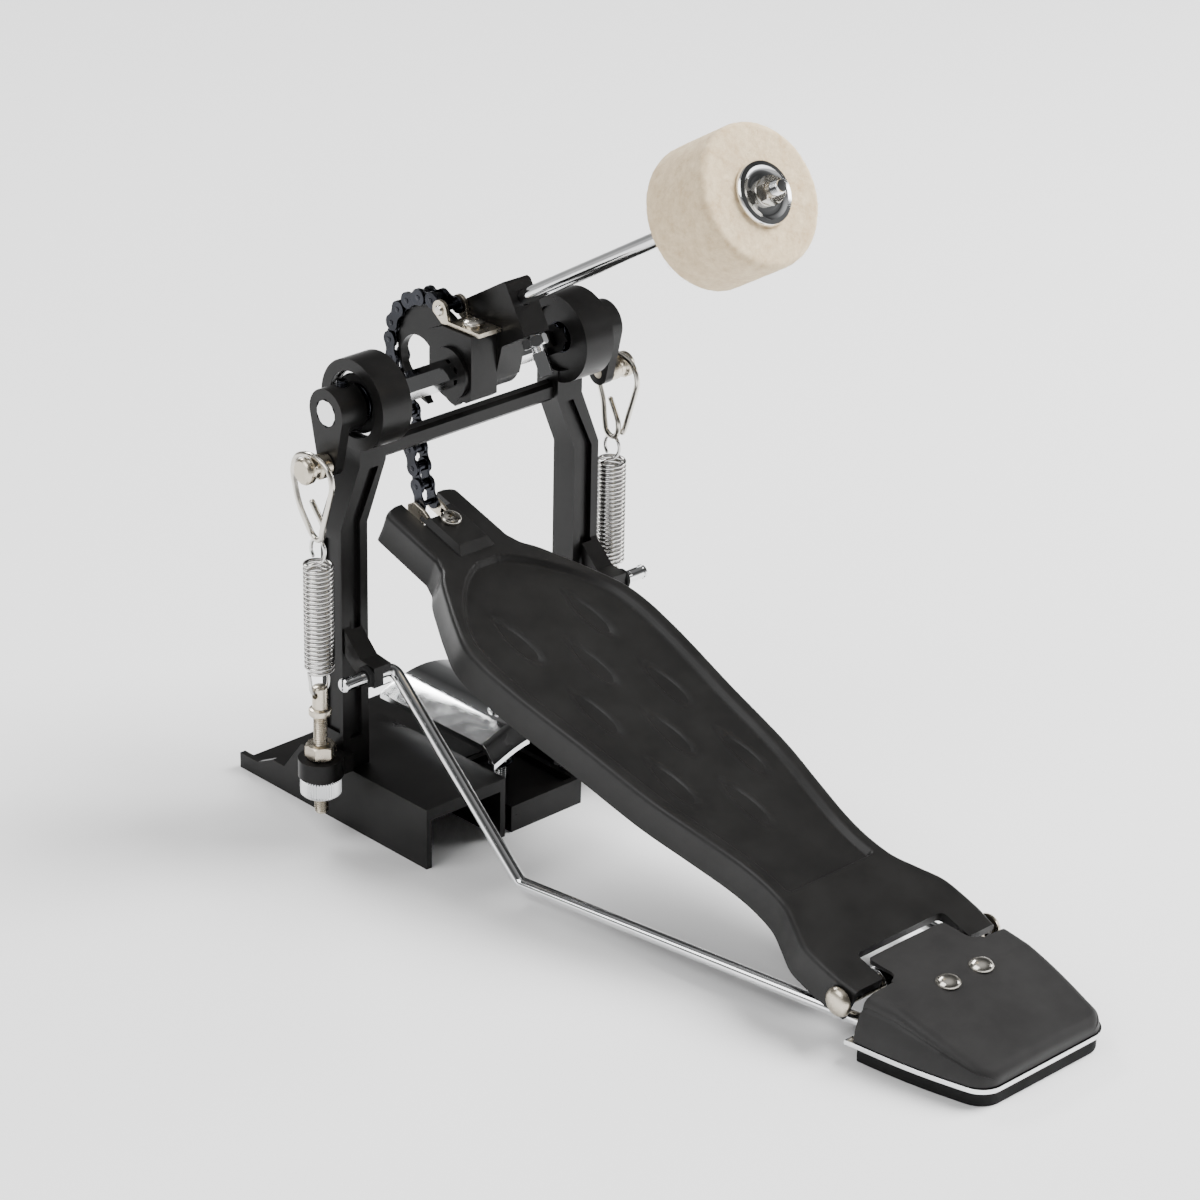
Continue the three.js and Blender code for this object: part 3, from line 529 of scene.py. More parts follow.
def upright(letter, side):
    """A post that bends in to its bearing housing, with grooves, a spring lug and a rod boss."""
    front, back, wide = -2.3, 10.7, 14
    foot, head = 57.7, 47.5
    foot_z, bend_low, bend_high = 27.8, 138, 163
    outline = [(foot, foot_z), (foot + wide, foot_z), (foot + wide, bend_low), (head + wide, bend_high),
               (head + wide, AXLE_Z), (head, AXLE_Z), (head, bend_high), (foot, bend_low)]
    rim, deep, over = 4, 2.2, 1
    groove = [(foot + rim, 42), (foot + wide - rim, 42), (foot + wide - rim, bend_low - 1),
              (head + wide - rim - 1, bend_high - 2), (head + rim, bend_high - 2), (foot + rim, bend_low + 1)]
    mirrored = [[(side * x, z) for x, z in shape] for shape in (outline, groove)]
    post = prism(mirrored[0], "Y", front, back)
    grooves = [prism(mirrored[1], "Y", low, high) for low, high in ((front - over, front + deep),
                                                                    (back - deep, back + over))]
    grooves.append(box(side * 70.4, side * 75, -0.2, 8.6, 45, 132))
    housing = bar((0, AXLE_Z), "X", side * 48, side * 63.3, 19.2, 96)
    bore = bar((0, AXLE_Z), "X", side * 40, side * 70, 14.15, 96)
    arm = box(side * (foot + wide - 2), side * SPRING_X, -6.5, 6.5, LUG_LOW, LUG_HIGH)
    lug = bar((side * SPRING_X, 0), "Z", LUG_LOW, LUG_HIGH, 9.5, 64)
    lug_hole = bar((side * SPRING_X, 0), "Z", LUG_LOW - over, LUG_HIGH + over, 3.35, 32)
    boss_shape = [(-21.5, 73.5), (-14, 73.5), (0, 84), (0, 96), (-13, 83.5), (-21.5, 82.5)]
    boss = prism(boss_shape, "X", side * 62, side * 71)
    boss_hole = bar((ROD_PIVOT_Y, ROD_PIVOT_Z), "X", side * 50, side * 80, 3.1, 32)
    mouth = bar((ROD_PIVOT_Y, ROD_PIVOT_Z - 1), "X", side * 59, side * 66, 4.6, 32)
    body = combine(post, [housing, arm, lug, boss], [bore, lug_hole, boss_hole, mouth] + grooves)
    name = letter + "_upright"
    piece(body, name + "_cast", "frame", "black_coat", COAT, [name], 0.7)


def bearing(letter, side):
    """A sealed ball bearing: races with chamfered lips, a seal between them and a thin cap."""
    wide, lip = 10, 0.6

    def ring(name, profile, body, slot, material, replaces=()):
        turned = lathe(profile, (side * 50.5, 0, AXLE_Z), (side, 0, 0), 96)
        piece(turned, letter + name, body, slot, material, replaces, 0)

    outer = [(12.3, lip), (12.6, 0), (13.6, 0), (14.1, lip), (14.1, wide - lip), (13.6, wide), (12.6, wide),
             (12.3, wide - lip)]
    inner = [(6.35, 0.2), (6.6, 0), (7.8, 0), (8, 0.3), (8, wide - 0.3), (7.8, wide), (6.6, wide),
             (6.35, wide - 0.2)]
    seal = [(8.05, 1.2), (9, 0.7), (11.4, 0.7), (12.25, 1.2), (12.25, wide - 1.2), (11.4, wide - 0.7),
            (9, wide - 0.7), (8.05, wide - 1.2)]
    cap = [(6.8, -0.3), (14, -0.3), (14, -0.05), (6.8, -0.05)]
    ring("_bearing_outer", outer, "frame", "chrome", CHROME, [letter + "_bearing_outer_race"])
    ring("_bearing_inner", inner, "axle", "chrome", BLUED, [letter + "_bearing_inner_race"])
    ring("_bearing_seal", seal, "frame", "rubber", RUBBER)
    ring("_bearing_cap", cap, "frame", "black_coat", COAT)


def crank(letter, side):
    """The crank on an axle end, its set screw, and the turned pin that the spring's hook hangs on."""
    pin_z = AXLE_Z - CRANK_DROP
    round_r, screw_x = 10.2, side * 68.5
    # The plate runs tangent from the axle's round to the pin's.
    shape = arc(0, AXLE_Z, round_r, -14, 194, 36) + arc(0, pin_z, 5.4, 194, 346, 20)
    plate = prism(shape, "X", side * 72.4, side * AXLE_END)
    hub_body = bar((0, AXLE_Z), "X", side * 63.8, side * AXLE_END, round_r, 72)
    bore = bar((0, AXLE_Z), "X", side * 55, side * 90, AXLE_HEX, 6)
    screw_hole = bar((screw_x, 0), "Z", AXLE_Z + 6, AXLE_Z + 20, 2.8, 32)
    pin_hole = bar((0, pin_z), "X", side * 70, side * 80, 2.6, 32)
    body = combine(hub_body, [plate], [bore, screw_hole, pin_hole])
    piece(body, letter + "_crank_cast", "axle", "black_coat", COAT, [letter + "_crank"], 0.8)
    screw = thread((screw_x, 0, AXLE_Z + 5.8), (0, 0, 1), 6.4, 2.6, 0.8)
    socket = bar((screw_x, 0), "Z", AXLE_Z + 10, AXLE_Z + 15, 1.4, 6)
    piece(combine(screw, cuts=[socket]), letter + "_set_screw", "axle", "nickel", BLUED,
          [letter + "_crank_set_screw"], 0, 60)
    stem = [(0, 72.6), (2.5, 72.6), (2.5, 77.2)]
    shoulder = [(4.9, 77.2), (5.2, 77.6), (5.2, 82.1), (4.9, 82.5), (4.3, 83.1)]
    neck = [(4.2, 83.5), (4.2, 85.1), (4.4, 85.5)]
    head = [(5.3, 86.2), (5.6, 86.7), (5.6, 89), (5.3, 89.6), (4.6, 90.1), (0, 90.2)]
    pin = lathe(stem + shoulder + neck + head, (0, 0, pin_z), (side, 0, 0))
    piece(pin, letter + "_pin", "axle", "nickel", ZINC, [letter + "_spring_pin"], 0)


# ---- Springs ----

def spring(letter, side):
    """A close-wound spring with a long lower loop through the eye bolt and a round upper loop."""
    x = side * SPRING_X
    low, high = 78, 125.6
    coil = helix(x, 0, low, high, 5.65, 25, 14, math.pi)
    lower = [(x + 3.4, 0, low - 2.6), (x + 4.7, 0, low - 5), (x + 4.4, 0, EYE_Z + 4.6),
             (x + 2.6, 0, EYE_Z + 2.4), (x, 0, EYE_Z + 2.3), (x - 2.6, 0, EYE_Z + 2.4),
             (x - 4.5, 0, EYE_Z + 4.6), (x - 5, 0, low - 4), (x - 5.5, 0, low - 1.4)]
    upper = [(x - 4.6, -1.5, high + 1.2), (x - 1.5, -3.5, high + 2.2), (x, -4.4, high + 5.4),
             (x, -3.4, high + 9.4), (x, 0, high + 11), (x, 3.4, high + 9.2), (x, 4.4, high + 5.2),
             (x, 3.2, high + 2.6)]
    path = smooth_path(lower, 8)[:-1] + smooth_path(coil, 2) + smooth_path(upper, 8)
    obj = sweep(path, 0.78, 10)
    name = letter + "_spring"
    obj.name = name + "_coil"
    obj.data.materials.append(SPRING_STEEL)
    obj.data.shade_smooth()
    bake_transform(obj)
    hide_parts(name)


def hook(letter, side):
    """The wire hook: a wide loop over the crank's pin, drawn in to a small one through the spring."""
    x = side * 84.3
    low_x = side * SPRING_X
    top = AXLE_Z - CRANK_DROP + 5.7
    points = [(low_x + side * 0.8, 2.2, 152.5), (low_x + side * 0.5, -0.6, 148.4), (low_x, -3.4, 143.6),
              (low_x, -3.2, 138.6), (low_x, -0.2, 136.2), (low_x, 3.4, 137.6), (low_x + side * 0.8, 5.6, 142),
              (x, 8.2, 149.5), (x, 10.9, 157.5), (x, 12.1, 164.5), (x, 8.9, top - 2.6), (x, 0, top),
              (x, -8.9, top - 2.6), (x, -12.1, 164.5), (x, -10.6, 157.5), (x, -8, 149.5), (x, -5.6, 142),
              (low_x + side * 1.6, -4.6, 139)]
    obj = sweep(smooth_path(points, 9), 1.2, 18)
    piece(obj, letter + "_hook_wire", letter + "_hook_body", "nickel", NICKEL, [letter + "_spring_hook"], 0)


def tension(letter, side):
    """The eye bolt, its hex lock nut above the lug and its knurled nut below."""
    x = side * SPRING_X
    up = (0, 0, 1)
    collar, end_r = 57.3, 3.3
    shank = thread((x, 0, 12.2), up, 45.6, 3.05, 1.0)
    profile = [(0, collar), (4.4, collar), (4.8, collar + 0.4), (4.8, collar + 2.6), (4.4, collar + 3),
               (end_r, collar + 3.1), (end_r, EYE_Z + 4.6), (2.7, EYE_Z + 5.4), (0, EYE_Z + 5.6)]
    head = lathe(profile, (x, 0, 0), up)
    head = combine(head, cuts=[bar((0, EYE_Z + 2.3), "X", x - 6, x + 6, 1.9, 32)])
    piece(join([head, shank]), letter + "_eye", "frame", "nickel", ZINC, [letter + "_eye_bolt"], 0.3, 50)
    lock = hex_nut((x, 0, LUG_HIGH + 0.3), up, 6, 6.65, 3.4)
    piece(lock, letter + "_hex_nut", "frame", "nickel", ZINC, [letter + "_lock_nut"], 0.15)
    tall, outside, teeth = 8.2, 8.75, 44

    def knurl(turn, distance):
        edge = min(distance, tall - distance)
        ridge = abs(((turn * teeth) % 1) * 2 - 1)
        return outside - (0.75 * ridge if edge > 0.9 else 0.5) - max(0, 0.6 - edge) * 0.9

    nut = ridged((x, 0, 20.9), up, tall, knurl, 18, teeth * 6)
    bore = bar((x, 0), "Z", 15, 35, 3.4, 40)
    piece(combine(nut, cuts=[bore]), letter + "_knurled_nut", letter + "_nut_body", "chrome", CHROME,
          [letter + "_tension_nut"], 0, 40)


# ---- Hub, cam and rod clamp ----

ROD_DIR = Vector((0, -math.cos(ROD_RISE), math.sin(ROD_RISE)))
BOLT_DIR = Vector((0, -math.sin(ROD_RISE), -math.cos(ROD_RISE)))
CLAMP_FACE = Vector((BEATER_X, -20.7, 223.6))


def on_rod(s, up=0.0):
    """A point at a distance out from the clamp's face along the beater's rod, and up from it."""
    return CLAMP_FACE + ROD_DIR * s - BOLT_DIR * up


def on_bolt(s):
    """A point down the clamp bolt from the rod's middle line."""
    return CLAMP_FACE - ROD_DIR * 3.4 + BOLT_DIR * s


def hub():
    """The cam's disc and rim with their window, the block and boss on the axle, and the rod's clamp."""
    block = prism([(-12, 181), (-9, 179), (14, 179), (14, 205), (6, 208.5), (-12, 208.5)], "X", -10, 4.2)
    boss = bar((0, AXLE_Z), "X", -12, 17.5, 11, 72)
    disc, rim = (bar((CAM_Y, AXLE_Z), "X", CHAIN_X - half, CHAIN_X + half, radius, 128)
                 for half, radius in ((1.85, 21.2), (1.6, 22.5)))
    window = bar((27.5, 186), "X", -14, 8, 10.6, 64)
    crescent = prism(arc(0, AXLE_Z, 30.8, -118, -6, 48) + arc(0, AXLE_Z, 18.6, -6, -118, 48), "X", -14, 8)
    cam = combine(disc, [rim], [window, crescent])
    root = [Vector((0, -11, 186)), Vector((0, 0, 180)), Vector((0, 13, 182)), Vector((0, 14, 205))]
    clamp_side = [on_rod(0, -15.6), on_rod(-16, -15.6)] + root
    clamp_side += [on_rod(-29, 2), on_rod(-29, 7), on_rod(-27, 8.4), on_rod(-1.5, 8.4), on_rod(0, 7)]
    clamp = prism([(p.y, p.z) for p in clamp_side], "X", 4, 17.5)
    bore = bar((0, AXLE_Z), "X", -20, 25, AXLE_HEX, 6)
    rod_hole = rod(on_rod(-60), on_rod(20), ROD_R + 0.1)
    bolt_hole = rod(on_bolt(-1), on_bolt(30), 2.7, 32)
    screw_hole = bar((CHAIN_X, SCREW_Y), "Z", 200, 212, 2.3, 24)
    body = combine(block, [boss, cam, clamp], [bore, rod_hole, bolt_hole, screw_hole])
    piece(body, "hub_cast", "axle", "black_coat", COAT, ["cam_hub"], 0.6)


def clamp_bolt():
    """The clamp's bolt, with a hex collar and a square head for a key."""
    shank = thread(on_bolt(3.6), BOLT_DIR, 20, 2.5, 0.8)
    collar = hex_nut(on_bolt(16.2), BOLT_DIR, 4.4, 5.4, 2.2)
    head = rod(on_bolt(23), on_bolt(33), 3.7, 4)
    bolt = join([shank, collar, head])
    piece(bolt, "drum_key_bolt", "axle", "chrome", CHROME, ["beater_clamp_bolt"], 0.25, 50)


# ---- Beater ----

FELT_FROM, FELT_LONG, FELT_R = 117, 36, 29


def felt_profile():
    """The felt's outline in fine steps: its faces, side and rounded corners."""
    inner, corner = ROD_R + 0.4, 3.2
    flat = FELT_R - corner
    faces, sides = 26, 34
    low = [(inner + (flat - inner) * k / faces, 0) for k in range(faces)]
    side = [(FELT_R, corner + (FELT_LONG - 2 * corner) * k / sides) for k in range(1, sides)]
    high = [(flat - (flat - inner) * k / faces, FELT_LONG) for k in range(1, faces + 1)]
    return (low + arc(flat, corner, corner, -90, 0, 8) + side
            + arc(flat, FELT_LONG - corner, corner, 0, 90, 8) + high)


def fibres(count):
    """Loose fibres that lie about on the felt, each bent once and drawn to a tip."""
    random.seed(7)
    verts, faces = [], []
    centre = on_rod(FELT_FROM + FELT_LONG / 2)
    half = FELT_LONG / 2
    sunk = 0.25
    a, b = frame_along(ROD_DIR)
    for _ in range(count):
        angle = random.uniform(0, TAU)
        spoke = a * math.cos(angle) + b * math.sin(angle)
        if random.random() < 0.6:
            normal = spoke
            root = centre + ROD_DIR * random.uniform(1 - half, half - 1) + spoke * (FELT_R - sunk)
        else:
            normal = ROD_DIR * random.choice((-1, 1))
            reach = math.sqrt(random.uniform(0.06, 0.93)) * (FELT_R - 1)
            root = centre + spoke * reach + normal * (half - sunk)
        lean = Vector([random.gauss(0, 1) for _ in range(3)])
        lean = (lean - normal * lean.dot(normal)).normalized()
        length = random.uniform(0.5, 1.3)
        width = lean.cross(normal) * 0.035
        middle = root + lean * length * 0.6 + normal * random.uniform(0.15, 0.45)
        tip = root + lean * length + normal * random.uniform(-0.1, 0.5)
        start = len(verts)
        verts += [root - width, root + width, middle + width, middle - width, tip]
        faces += [(start, start + 1, start + 2, start + 3), (start + 3, start + 2, start + 4)]
    return mesh_object("fibres", verts, faces)


def beater():
    """The beater's rod and stud, its felt, and the washers, nut and collar that hold the felt."""
    felt_end = FELT_FROM + FELT_LONG
    shaft = lathe([(0, -31), (2.6, -31), (ROD_R, -30.2), (ROD_R, felt_end - 2), (0, felt_end - 2)],
                  CLAMP_FACE, ROD_DIR, 48)
    stud = thread(on_rod(felt_end - 4), ROD_DIR, 15.3, 2.9, 0.8)
    tip = lathe([(0, 0), (2.4, 0), (2.3, 0.5), (0, 0.7)], on_rod(felt_end + 11.2), ROD_DIR, 32)
    piece(join([shaft, stud, tip]), "beater_shaft", "beater", "chrome", CHROME, ["beater_rod"], 0, 40)
    felt = lathe(felt_profile(), on_rod(FELT_FROM), ROD_DIR, 220)
    # The surface is pushed in and out by layers of noise, coarse to fine.
    layers = ((120, 0.16), (420, 0.16), (900, 0.1))
    for vertex in felt.data.vertices:
        height = sum(field.noise(vertex.co * scale) * share for scale, share in layers) - 0.12
        vertex.co += vertex.normal * height * MM
    piece(felt, "felt_body", "beater", "felt", FELT, ["beater_felt"], 0, 180)
    piece(fibres(9000), "felt_fuzz", "beater", "felt", FIBRE, (), 0, 180)
    end = felt_end + 0.3
    cup = lathe([(3.2, 0), (9.2, 0.1), (12.6, 0), (13, 0.4), (13, 1.2), (12.4, 2), (10.6, 2.2), (9.4, 1.3),
                 (8.2, 1.1), (7, 1.4), (3.2, 1.5)], on_rod(end), ROD_DIR, 96)
    piece(cup, "cup_washer", "beater", "nickel", CHROME, ["beater_cup_washer"], 0, 40)
    split = [(3.3, 1.6), (5.4, 1.6), (5.5, 2.2), (5.4, 2.7), (3.3, 2.7)]
    piece(lathe(split, on_rod(end), ROD_DIR), "lock_washer", "beater", "nickel", NICKEL, (), 0)
    nut = hex_nut(on_rod(end + 2.8), ROD_DIR, 4.6, 5.8, 3.1)
    piece(nut, "stud_nut", "beater", "nickel", NICKEL, ["beater_nut"], 0.15)
    collar = [(3.6, -3), (7.6, -3), (8, -2.7), (11, -0.4), (10.8, 0), (3.6, 0)]
    piece(lathe(collar, on_rod(FELT_FROM - 0.3), ROD_DIR), "felt_collar", "beater", "nickel", NICKEL,
          ["beater_collar"], 0)


# ---- Chain ----

LINK_STEP = 2 * math.asin(PITCH / 2 / CHAIN_R)
FIRST_PIN = math.radians(110)


def cam_pin(k):
    """The middle of pin k of the chain on the cam."""
    angle = FIRST_PIN - k * LINK_STEP
    return Vector((0, CAM_Y + CHAIN_R * math.cos(angle), AXLE_Z + CHAIN_R * math.sin(angle)))


def hang_pin(k):
    """The middle of pin k of the run that leaves the cam in a straight line."""
    last = WRAPPED + LOOSE
    angle = FIRST_PIN - last * LINK_STEP
    return cam_pin(last) + Vector((0, math.sin(angle), -math.cos(angle))) * k * PITCH


def link_plate(a, b, low, high):
    """A waisted side plate between two pins."""
    way = (b - a).normalized()
    up = Vector((0, -way.z, way.y))
    waist = up * 2.55
    middle = (a + b) / 2
    points = [b + way * x + up * y for x, y in arc(0, 0, 3.6, -125, 125, 12)] + [middle + waist]
    points += [a + way * x + up * y for x, y in arc(0, 0, 3.6, 55, 305, 12)] + [middle - waist]
    return prism([(p.y, p.z) for p in points], "X", low, high)


def chain_link(a, b, outer):
    """An outer link's two plates and riveted pins, or an inner link's plates and rollers."""
    thick = 0.9
    near = 2.05 + (thick + 0.15 if outer else 0)
    parts = [link_plate(a, b, CHAIN_X + side * near, CHAIN_X + side * (near + thick)) for side in (-1, 1)]
    x = Vector((1, 0, 0))
    reach = near + thick + 0.35
    rivet = [(0, -reach), (0.9, -reach), (1.25, 0.3 - reach), (1.25, reach - 0.3), (0.9, reach), (0, reach)]
    roller = x * 1.95
    for pin in (a, b):
        centre = pin + x * CHAIN_X
        parts.append(lathe(rivet, centre, x, 20) if outer else rod(centre - roller, centre + roller, 2.35, 28))
    return parts


def chain():
    """The links in four groups: fixed on the cam, two loose ones, and the hanging run."""
    groups = (
        ("chain_on_cam", "axle", [(cam_pin(k), cam_pin(k + 1), k % 2 == 0) for k in range(WRAPPED)]),
        ("chain_link_6", "chain_6", [(cam_pin(5), cam_pin(6), False)]),
        ("chain_link_7", "chain_7", [(cam_pin(6), cam_pin(7), True)]),
        ("chain_run", "chain_hanging", [(hang_pin(k), hang_pin(k + 1), k % 2 == 1) for k in range(HANGING)]),
    )
    for node, body, links in groups:
        parts = [part for a, b, outer in links for part in chain_link(a, b, outer)]
        piece(join(parts), node + "_links", body, "blue_steel", BLUED, [node], 0.18)


def chain_ears(shape):
    """The two upright ears of a bracket, one on each side of the chain."""
    return [prism(shape, "X", CHAIN_X + side * EAR_NEAR, CHAIN_X + side * (EAR_NEAR + EAR_THICK))
            for side in (-1, 1)]


def anchor():
    """The bracket that holds the chain's first pin on the cam, its cross screw and the pin's ends."""
    top, thick = 208.7, 1.8
    plate = box(CHAIN_X - EAR_NEAR - EAR_THICK, CHAIN_X + EAR_NEAR + EAR_THICK, -15, 8, top, top + thick)
    pin = cam_pin(0)
    shape = [(1, top), (8, top), (12.6, pin.z - 2)] + arc(pin.y, pin.z, 4.3, -20, 170, 12) + [(4, top + 2)]
    slot = box(CHAIN_X - EAR_NEAR, CHAIN_X + EAR_NEAR, 3.5, 20, top - 1, top + 3)
    hole = bar((CHAIN_X, SCREW_Y), "Z", 200, 220, 2.3, 24)
    plate = combine(plate, chain_ears(shape), [slot, hole])
    piece(plate, "anchor_bracket", "axle", "nickel", ZINC, ["chain_anchor"], 0.3)
    screw = cross_head((CHAIN_X, SCREW_Y, top + thick + 0.05), (0, 0, 1), 4.4, 2.4, 7, 0.9)
    piece(screw, "anchor_cross_screw", "axle", "nickel", NICKEL, ["chain_anchor_screw"], 0.1)
    for letter, side in SIDES:
        centre = (CHAIN_X + side * (EAR_NEAR + EAR_THICK), pin.y, pin.z)
        end = lathe([(0, 0), (2.2, 0), (2.2, 0.5), (1.7, 1.1), (0, 1.3)], centre, (side, 0, 0), 32)
        piece(end, "anchor_pin_" + letter, "axle", "nickel", NICKEL, (), 0)


# ---- Footboard ----

def along(y):
    """Distance from the hinge along the board of the top plane's point above y."""
    return (y - HEEL_Y) / math.cos(BOARD_TILT) + BOARD_TOP * math.tan(BOARD_TILT)


# Half widths of the board at places along it, toe to heel.
STATIONS = ((31.7, 18.6), (30, 20), (-2, 20.3), (-8, 22.6), (-13.7, 27.4), (-22, 32.4), (-35, 39.6),
            (-48, 45.6), (-60, 47.4), (-72, 47.1), (-86, 46), (-115, 42.5), (-151, 38.9), (-174.5, 34.2),
            (-192, 30.8), (-203, 29.8), (-212, 30.2), (-219, 31.6), (-228, 36), (-236, 40), (-242, 41),
            (-256, 41), (-264.5, 39.8))
# Dimples stand in pairs, with single ones between them on the middle line.
DIMPLES = ((-20, -53), (20, -53), (0, -76.7), (-20, -100), (20, -100), (0, -122.2), (-20, -144.7),
           (20, -144.7), (0, -167))
TOE_END, HEEL_END = along(31.7), along(-264.5)
PAN_TOE, PAN_HEEL = along(-10.5), along(-214)
TOE_SCREW = along(12.8)


def smoothstep(low, high, value):
    t = min(1, max(0, (value - low) / (high - low)))
    return t * t * (3 - 2 * t)


def half_width(s):
    """The board's half width: straight at the toe's prongs and the heel's end, and a smooth curve between."""
    stations = [(along(y), w) for y, w in STATIONS][::-1]
    last = len(stations) - 1
    if s <= stations[0][0]:
        return stations[0][1]
    if s >= stations[last][0]:
        return stations[last][1]
    i = next(k for k in range(last) if s <= stations[k + 1][0])
    (s0, w0), (s1, w1) = stations[i], stations[i + 1]
    t = (s - s0) / (s1 - s0)
    if i == 0 or i >= last - 3:
        return w0 + (w1 - w0) * t
    before, after = stations[i - 1], stations[i + 2]
    m0 = (w1 - before[1]) / (s1 - before[0]) * (s1 - s0)
    m1 = (after[1] - w0) / (after[0] - s0) * (s1 - s0)
    return ((2 * t ** 3 - 3 * t * t + 1) * w0 + (t ** 3 - 2 * t * t + t) * m0
            + (3 * t * t - 2 * t ** 3) * w1 + (t ** 3 - t * t) * m1)


def pan_half(s):
    """Half width of the sunken pan: a rim inside the board's, round at the toe and square at the heel."""
    if s > PAN_TOE or s < PAN_HEEL:
        return 0
    rim, toe_round, heel_round = 5.2, 34, 4
    width = half_width(s) - rim
    t = (s - (PAN_TOE - toe_round)) / toe_round
    if t > 0:
        width *= max(0, 1 - t ** 2.6) ** 0.42
    if s < PAN_HEEL + heel_round:
        width = min(width, half_width(PAN_HEEL) - 5 - rounding(s - PAN_HEEL, heel_round))
    return width


def top_height(x, s):
    """Height of the board's skin against its top plane: the pan, and the long dimples in it."""
    height = 0.0
    pan_depth, dimple_long = 3.0, 19.5
    half = pan_half(s)
    if half > 0:
        inside = min(half - abs(x), (s - PAN_HEEL) * 1.6, (PAN_TOE - s) * 2.2)
        height -= pan_depth * smoothstep(-0.3, 3.4, inside)
    for cx, cy in DIMPLES:
        ds = (s - along(cy)) / dimple_long
        if abs(ds) > 1.1 or abs(x - cx) > 9:
            continue
        # Each dimple narrows and grows shallower towards the toe.
        dx = (x - cx) / (5.2 - 1.8 * ds)
        r = math.sqrt(ds * ds + dx * dx)
        height -= (2.3 - 0.5 * ds) * (1 - smoothstep(0.3, 1.0, r))
    return height


def board_ring(s):
    """A section of the board: its skin, and walls that lean out to a turned lip."""
    depth, flare, round_r, across = 14.0, 1.6, 2.6, 96
    low = BOARD_TOP - depth
    w = half_width(s) - rounding(TOE_END - s, 3)
    flat = w - round_r
    skin = []
    for k in range(across + 1):
        x = flat * (2 * k / across - 1)
        skin.append((x, BOARD_TOP + top_height(x, s)))
    wall = arc(flat, BOARD_TOP - round_r, round_r, 90, 0, 8)[1:]
    wall += [(w + flare * (k / 6) ** 2, BOARD_TOP - round_r - (depth - round_r) * k / 6) for k in range(1, 7)]
    wall += [(w + flare - 0.5, low - 0.45), (w + flare - 1.3, low - 0.45), (w + flare - 1.8, low),
             (w - 1.8, BOARD_TOP - 6), (w - 2.6, BOARD_TOP - 4.2)]
    ring = [(-x, z) for x, z in reversed(wall)] + skin + wall
    return [(x, s, z) for x, z in ring]


def footboard():
    """The board, its toe strip with ears and screw, and the hinge's axle, all laid at the board's tilt."""
    tilt = Matrix.Translation(Vector((0, HEEL_Y, HEEL_Z)) * MM) @ Matrix.Rotation(BOARD_TILT, 4, "X")

    def tilted_piece(obj, *details):
        obj.data.transform(tilt)
        piece(obj, *details)

    rows = 420
    board = loft([board_ring(HEEL_END + (TOE_END - HEEL_END) * row / rows) for row in range(rows + 1)])
    cutters = [
        box(-10, 10, along(17), along(40), -20, 20),
        rounded_box(-24.5, 24.5, along(-280), along(-249.9), -20, 20, 3),
        bar((0, 0), "X", -60, 60, 3.15, 32),
        bar((0, TOE_SCREW), "Z", -10, 20, 2.4, 24),
    ]
    # The arms' lower corners are rounded off under the hinge.
    corner = [(along(-272), -20), (along(-250), -20), (along(-250), -7.4), (along(-254), -7.2)]
    corner += arc(0, 0, 7.6, 300, 190, 10) + [(along(-272), -2)]
    for side in (1, -1):
        cutters.append(box(side * 28, side * 38.6, along(-272), along(-252), -20, -3.6))
    for side in (-1, 1):
        cutters.append(prism(corner, "X", side * 23, side * 46))
    board = combine(board, cuts=cutters)
    tilted_piece(board, "board_pressing", "foot", "black_coat", BOARD, ["footboard"], 0, 40)
    top = BOARD_TOP
    base, crown = top + 0.02, top + 2.9
    outline = [(along(-5.5), base), (along(-1.5), crown), (along(21), crown), (along(21), base)]
    strip = prism(outline, "X", -9.6, 9.6)
    for vertex in strip.data.vertices:
        if vertex.co.z > (top + 1) * MM:
            vertex.co.x *= 0.8
    slot = box(CHAIN_X - EAR_NEAR, CHAIN_X + EAR_NEAR, along(17), along(40), top - 9, top + 9)
    hole = bar((0, TOE_SCREW), "Z", top - 9, top + 9, 2.4, 24)
    ear = [(along(17.6), top + 0.3), (along(19.5), top - 2.5), (along(29), top - 2.5), (along(30), top + 1),
           (along(27), top + 4.2), (along(21), top + 4.2), (along(17.6), top + 3.2)]
    screw = cross_head((0, TOE_SCREW, crown + 0.15), (0, 0, 1), 4.6, 2.6, 12)
    tilted_piece(combine(strip, cuts=[slot, hole]), "toe_strip", "foot", "black_coat", BOARD, (), 0.5)
    tilted_piece(join(chain_ears(ear)), "toe_ears", "foot", "nickel", ZINC, ["toe_bracket"], 0.3)
    tilted_piece(screw, "toe_cross_screw", "foot", "nickel", NICKEL, ["toe_screw"], 0.1)
    head = [(3, 41.8), (6.1, 42), (6.1, 42.7), (5.6, 43.8), (4.4, 44.7), (2.6, 45.2), (0, 45.4)]
    profile = [(r, -x) for r, x in reversed(head)] + head
    axle = lathe(profile, (0, HEEL_Y, HEEL_Z), (1, 0, 0))
    piece(axle, "heel_axle", "foot", "nickel", ZINC, ["hinge_pin"], 0, 50)


# ---- Heel ----

HEEL_FRONT, HEEL_REAR = -269.4, -326.8
CROWN = 0.9
PLATE_LOW, PLATE_HIGH = 6.3, 8.3


def heel_half(y, grow, rear):
    """Half width of the heel's plan at y: narrowing and slightly bowed to rounded rear corners."""
    t = (y - HEEL_FRONT) / (HEEL_REAR - HEEL_FRONT)
    half = 43.6 + grow - 10.8 * t + 1.6 * math.sin(math.pi * min(1, max(0, t)))
    return half - rounding(y - rear, 7.5)


def heel_plan(grow, front, rear):
    """The heel's outline, with rows that draw closer towards its rounded rear corners."""
    rows = 28
    ys = [front + (rear - front) * (1 - (1 - k / rows) ** 1.8) for k in range(rows + 1)]
    right = [(heel_half(y, grow, rear), y) for y in ys]
    return [(-x, y) for x, y in right] + right[::-1]


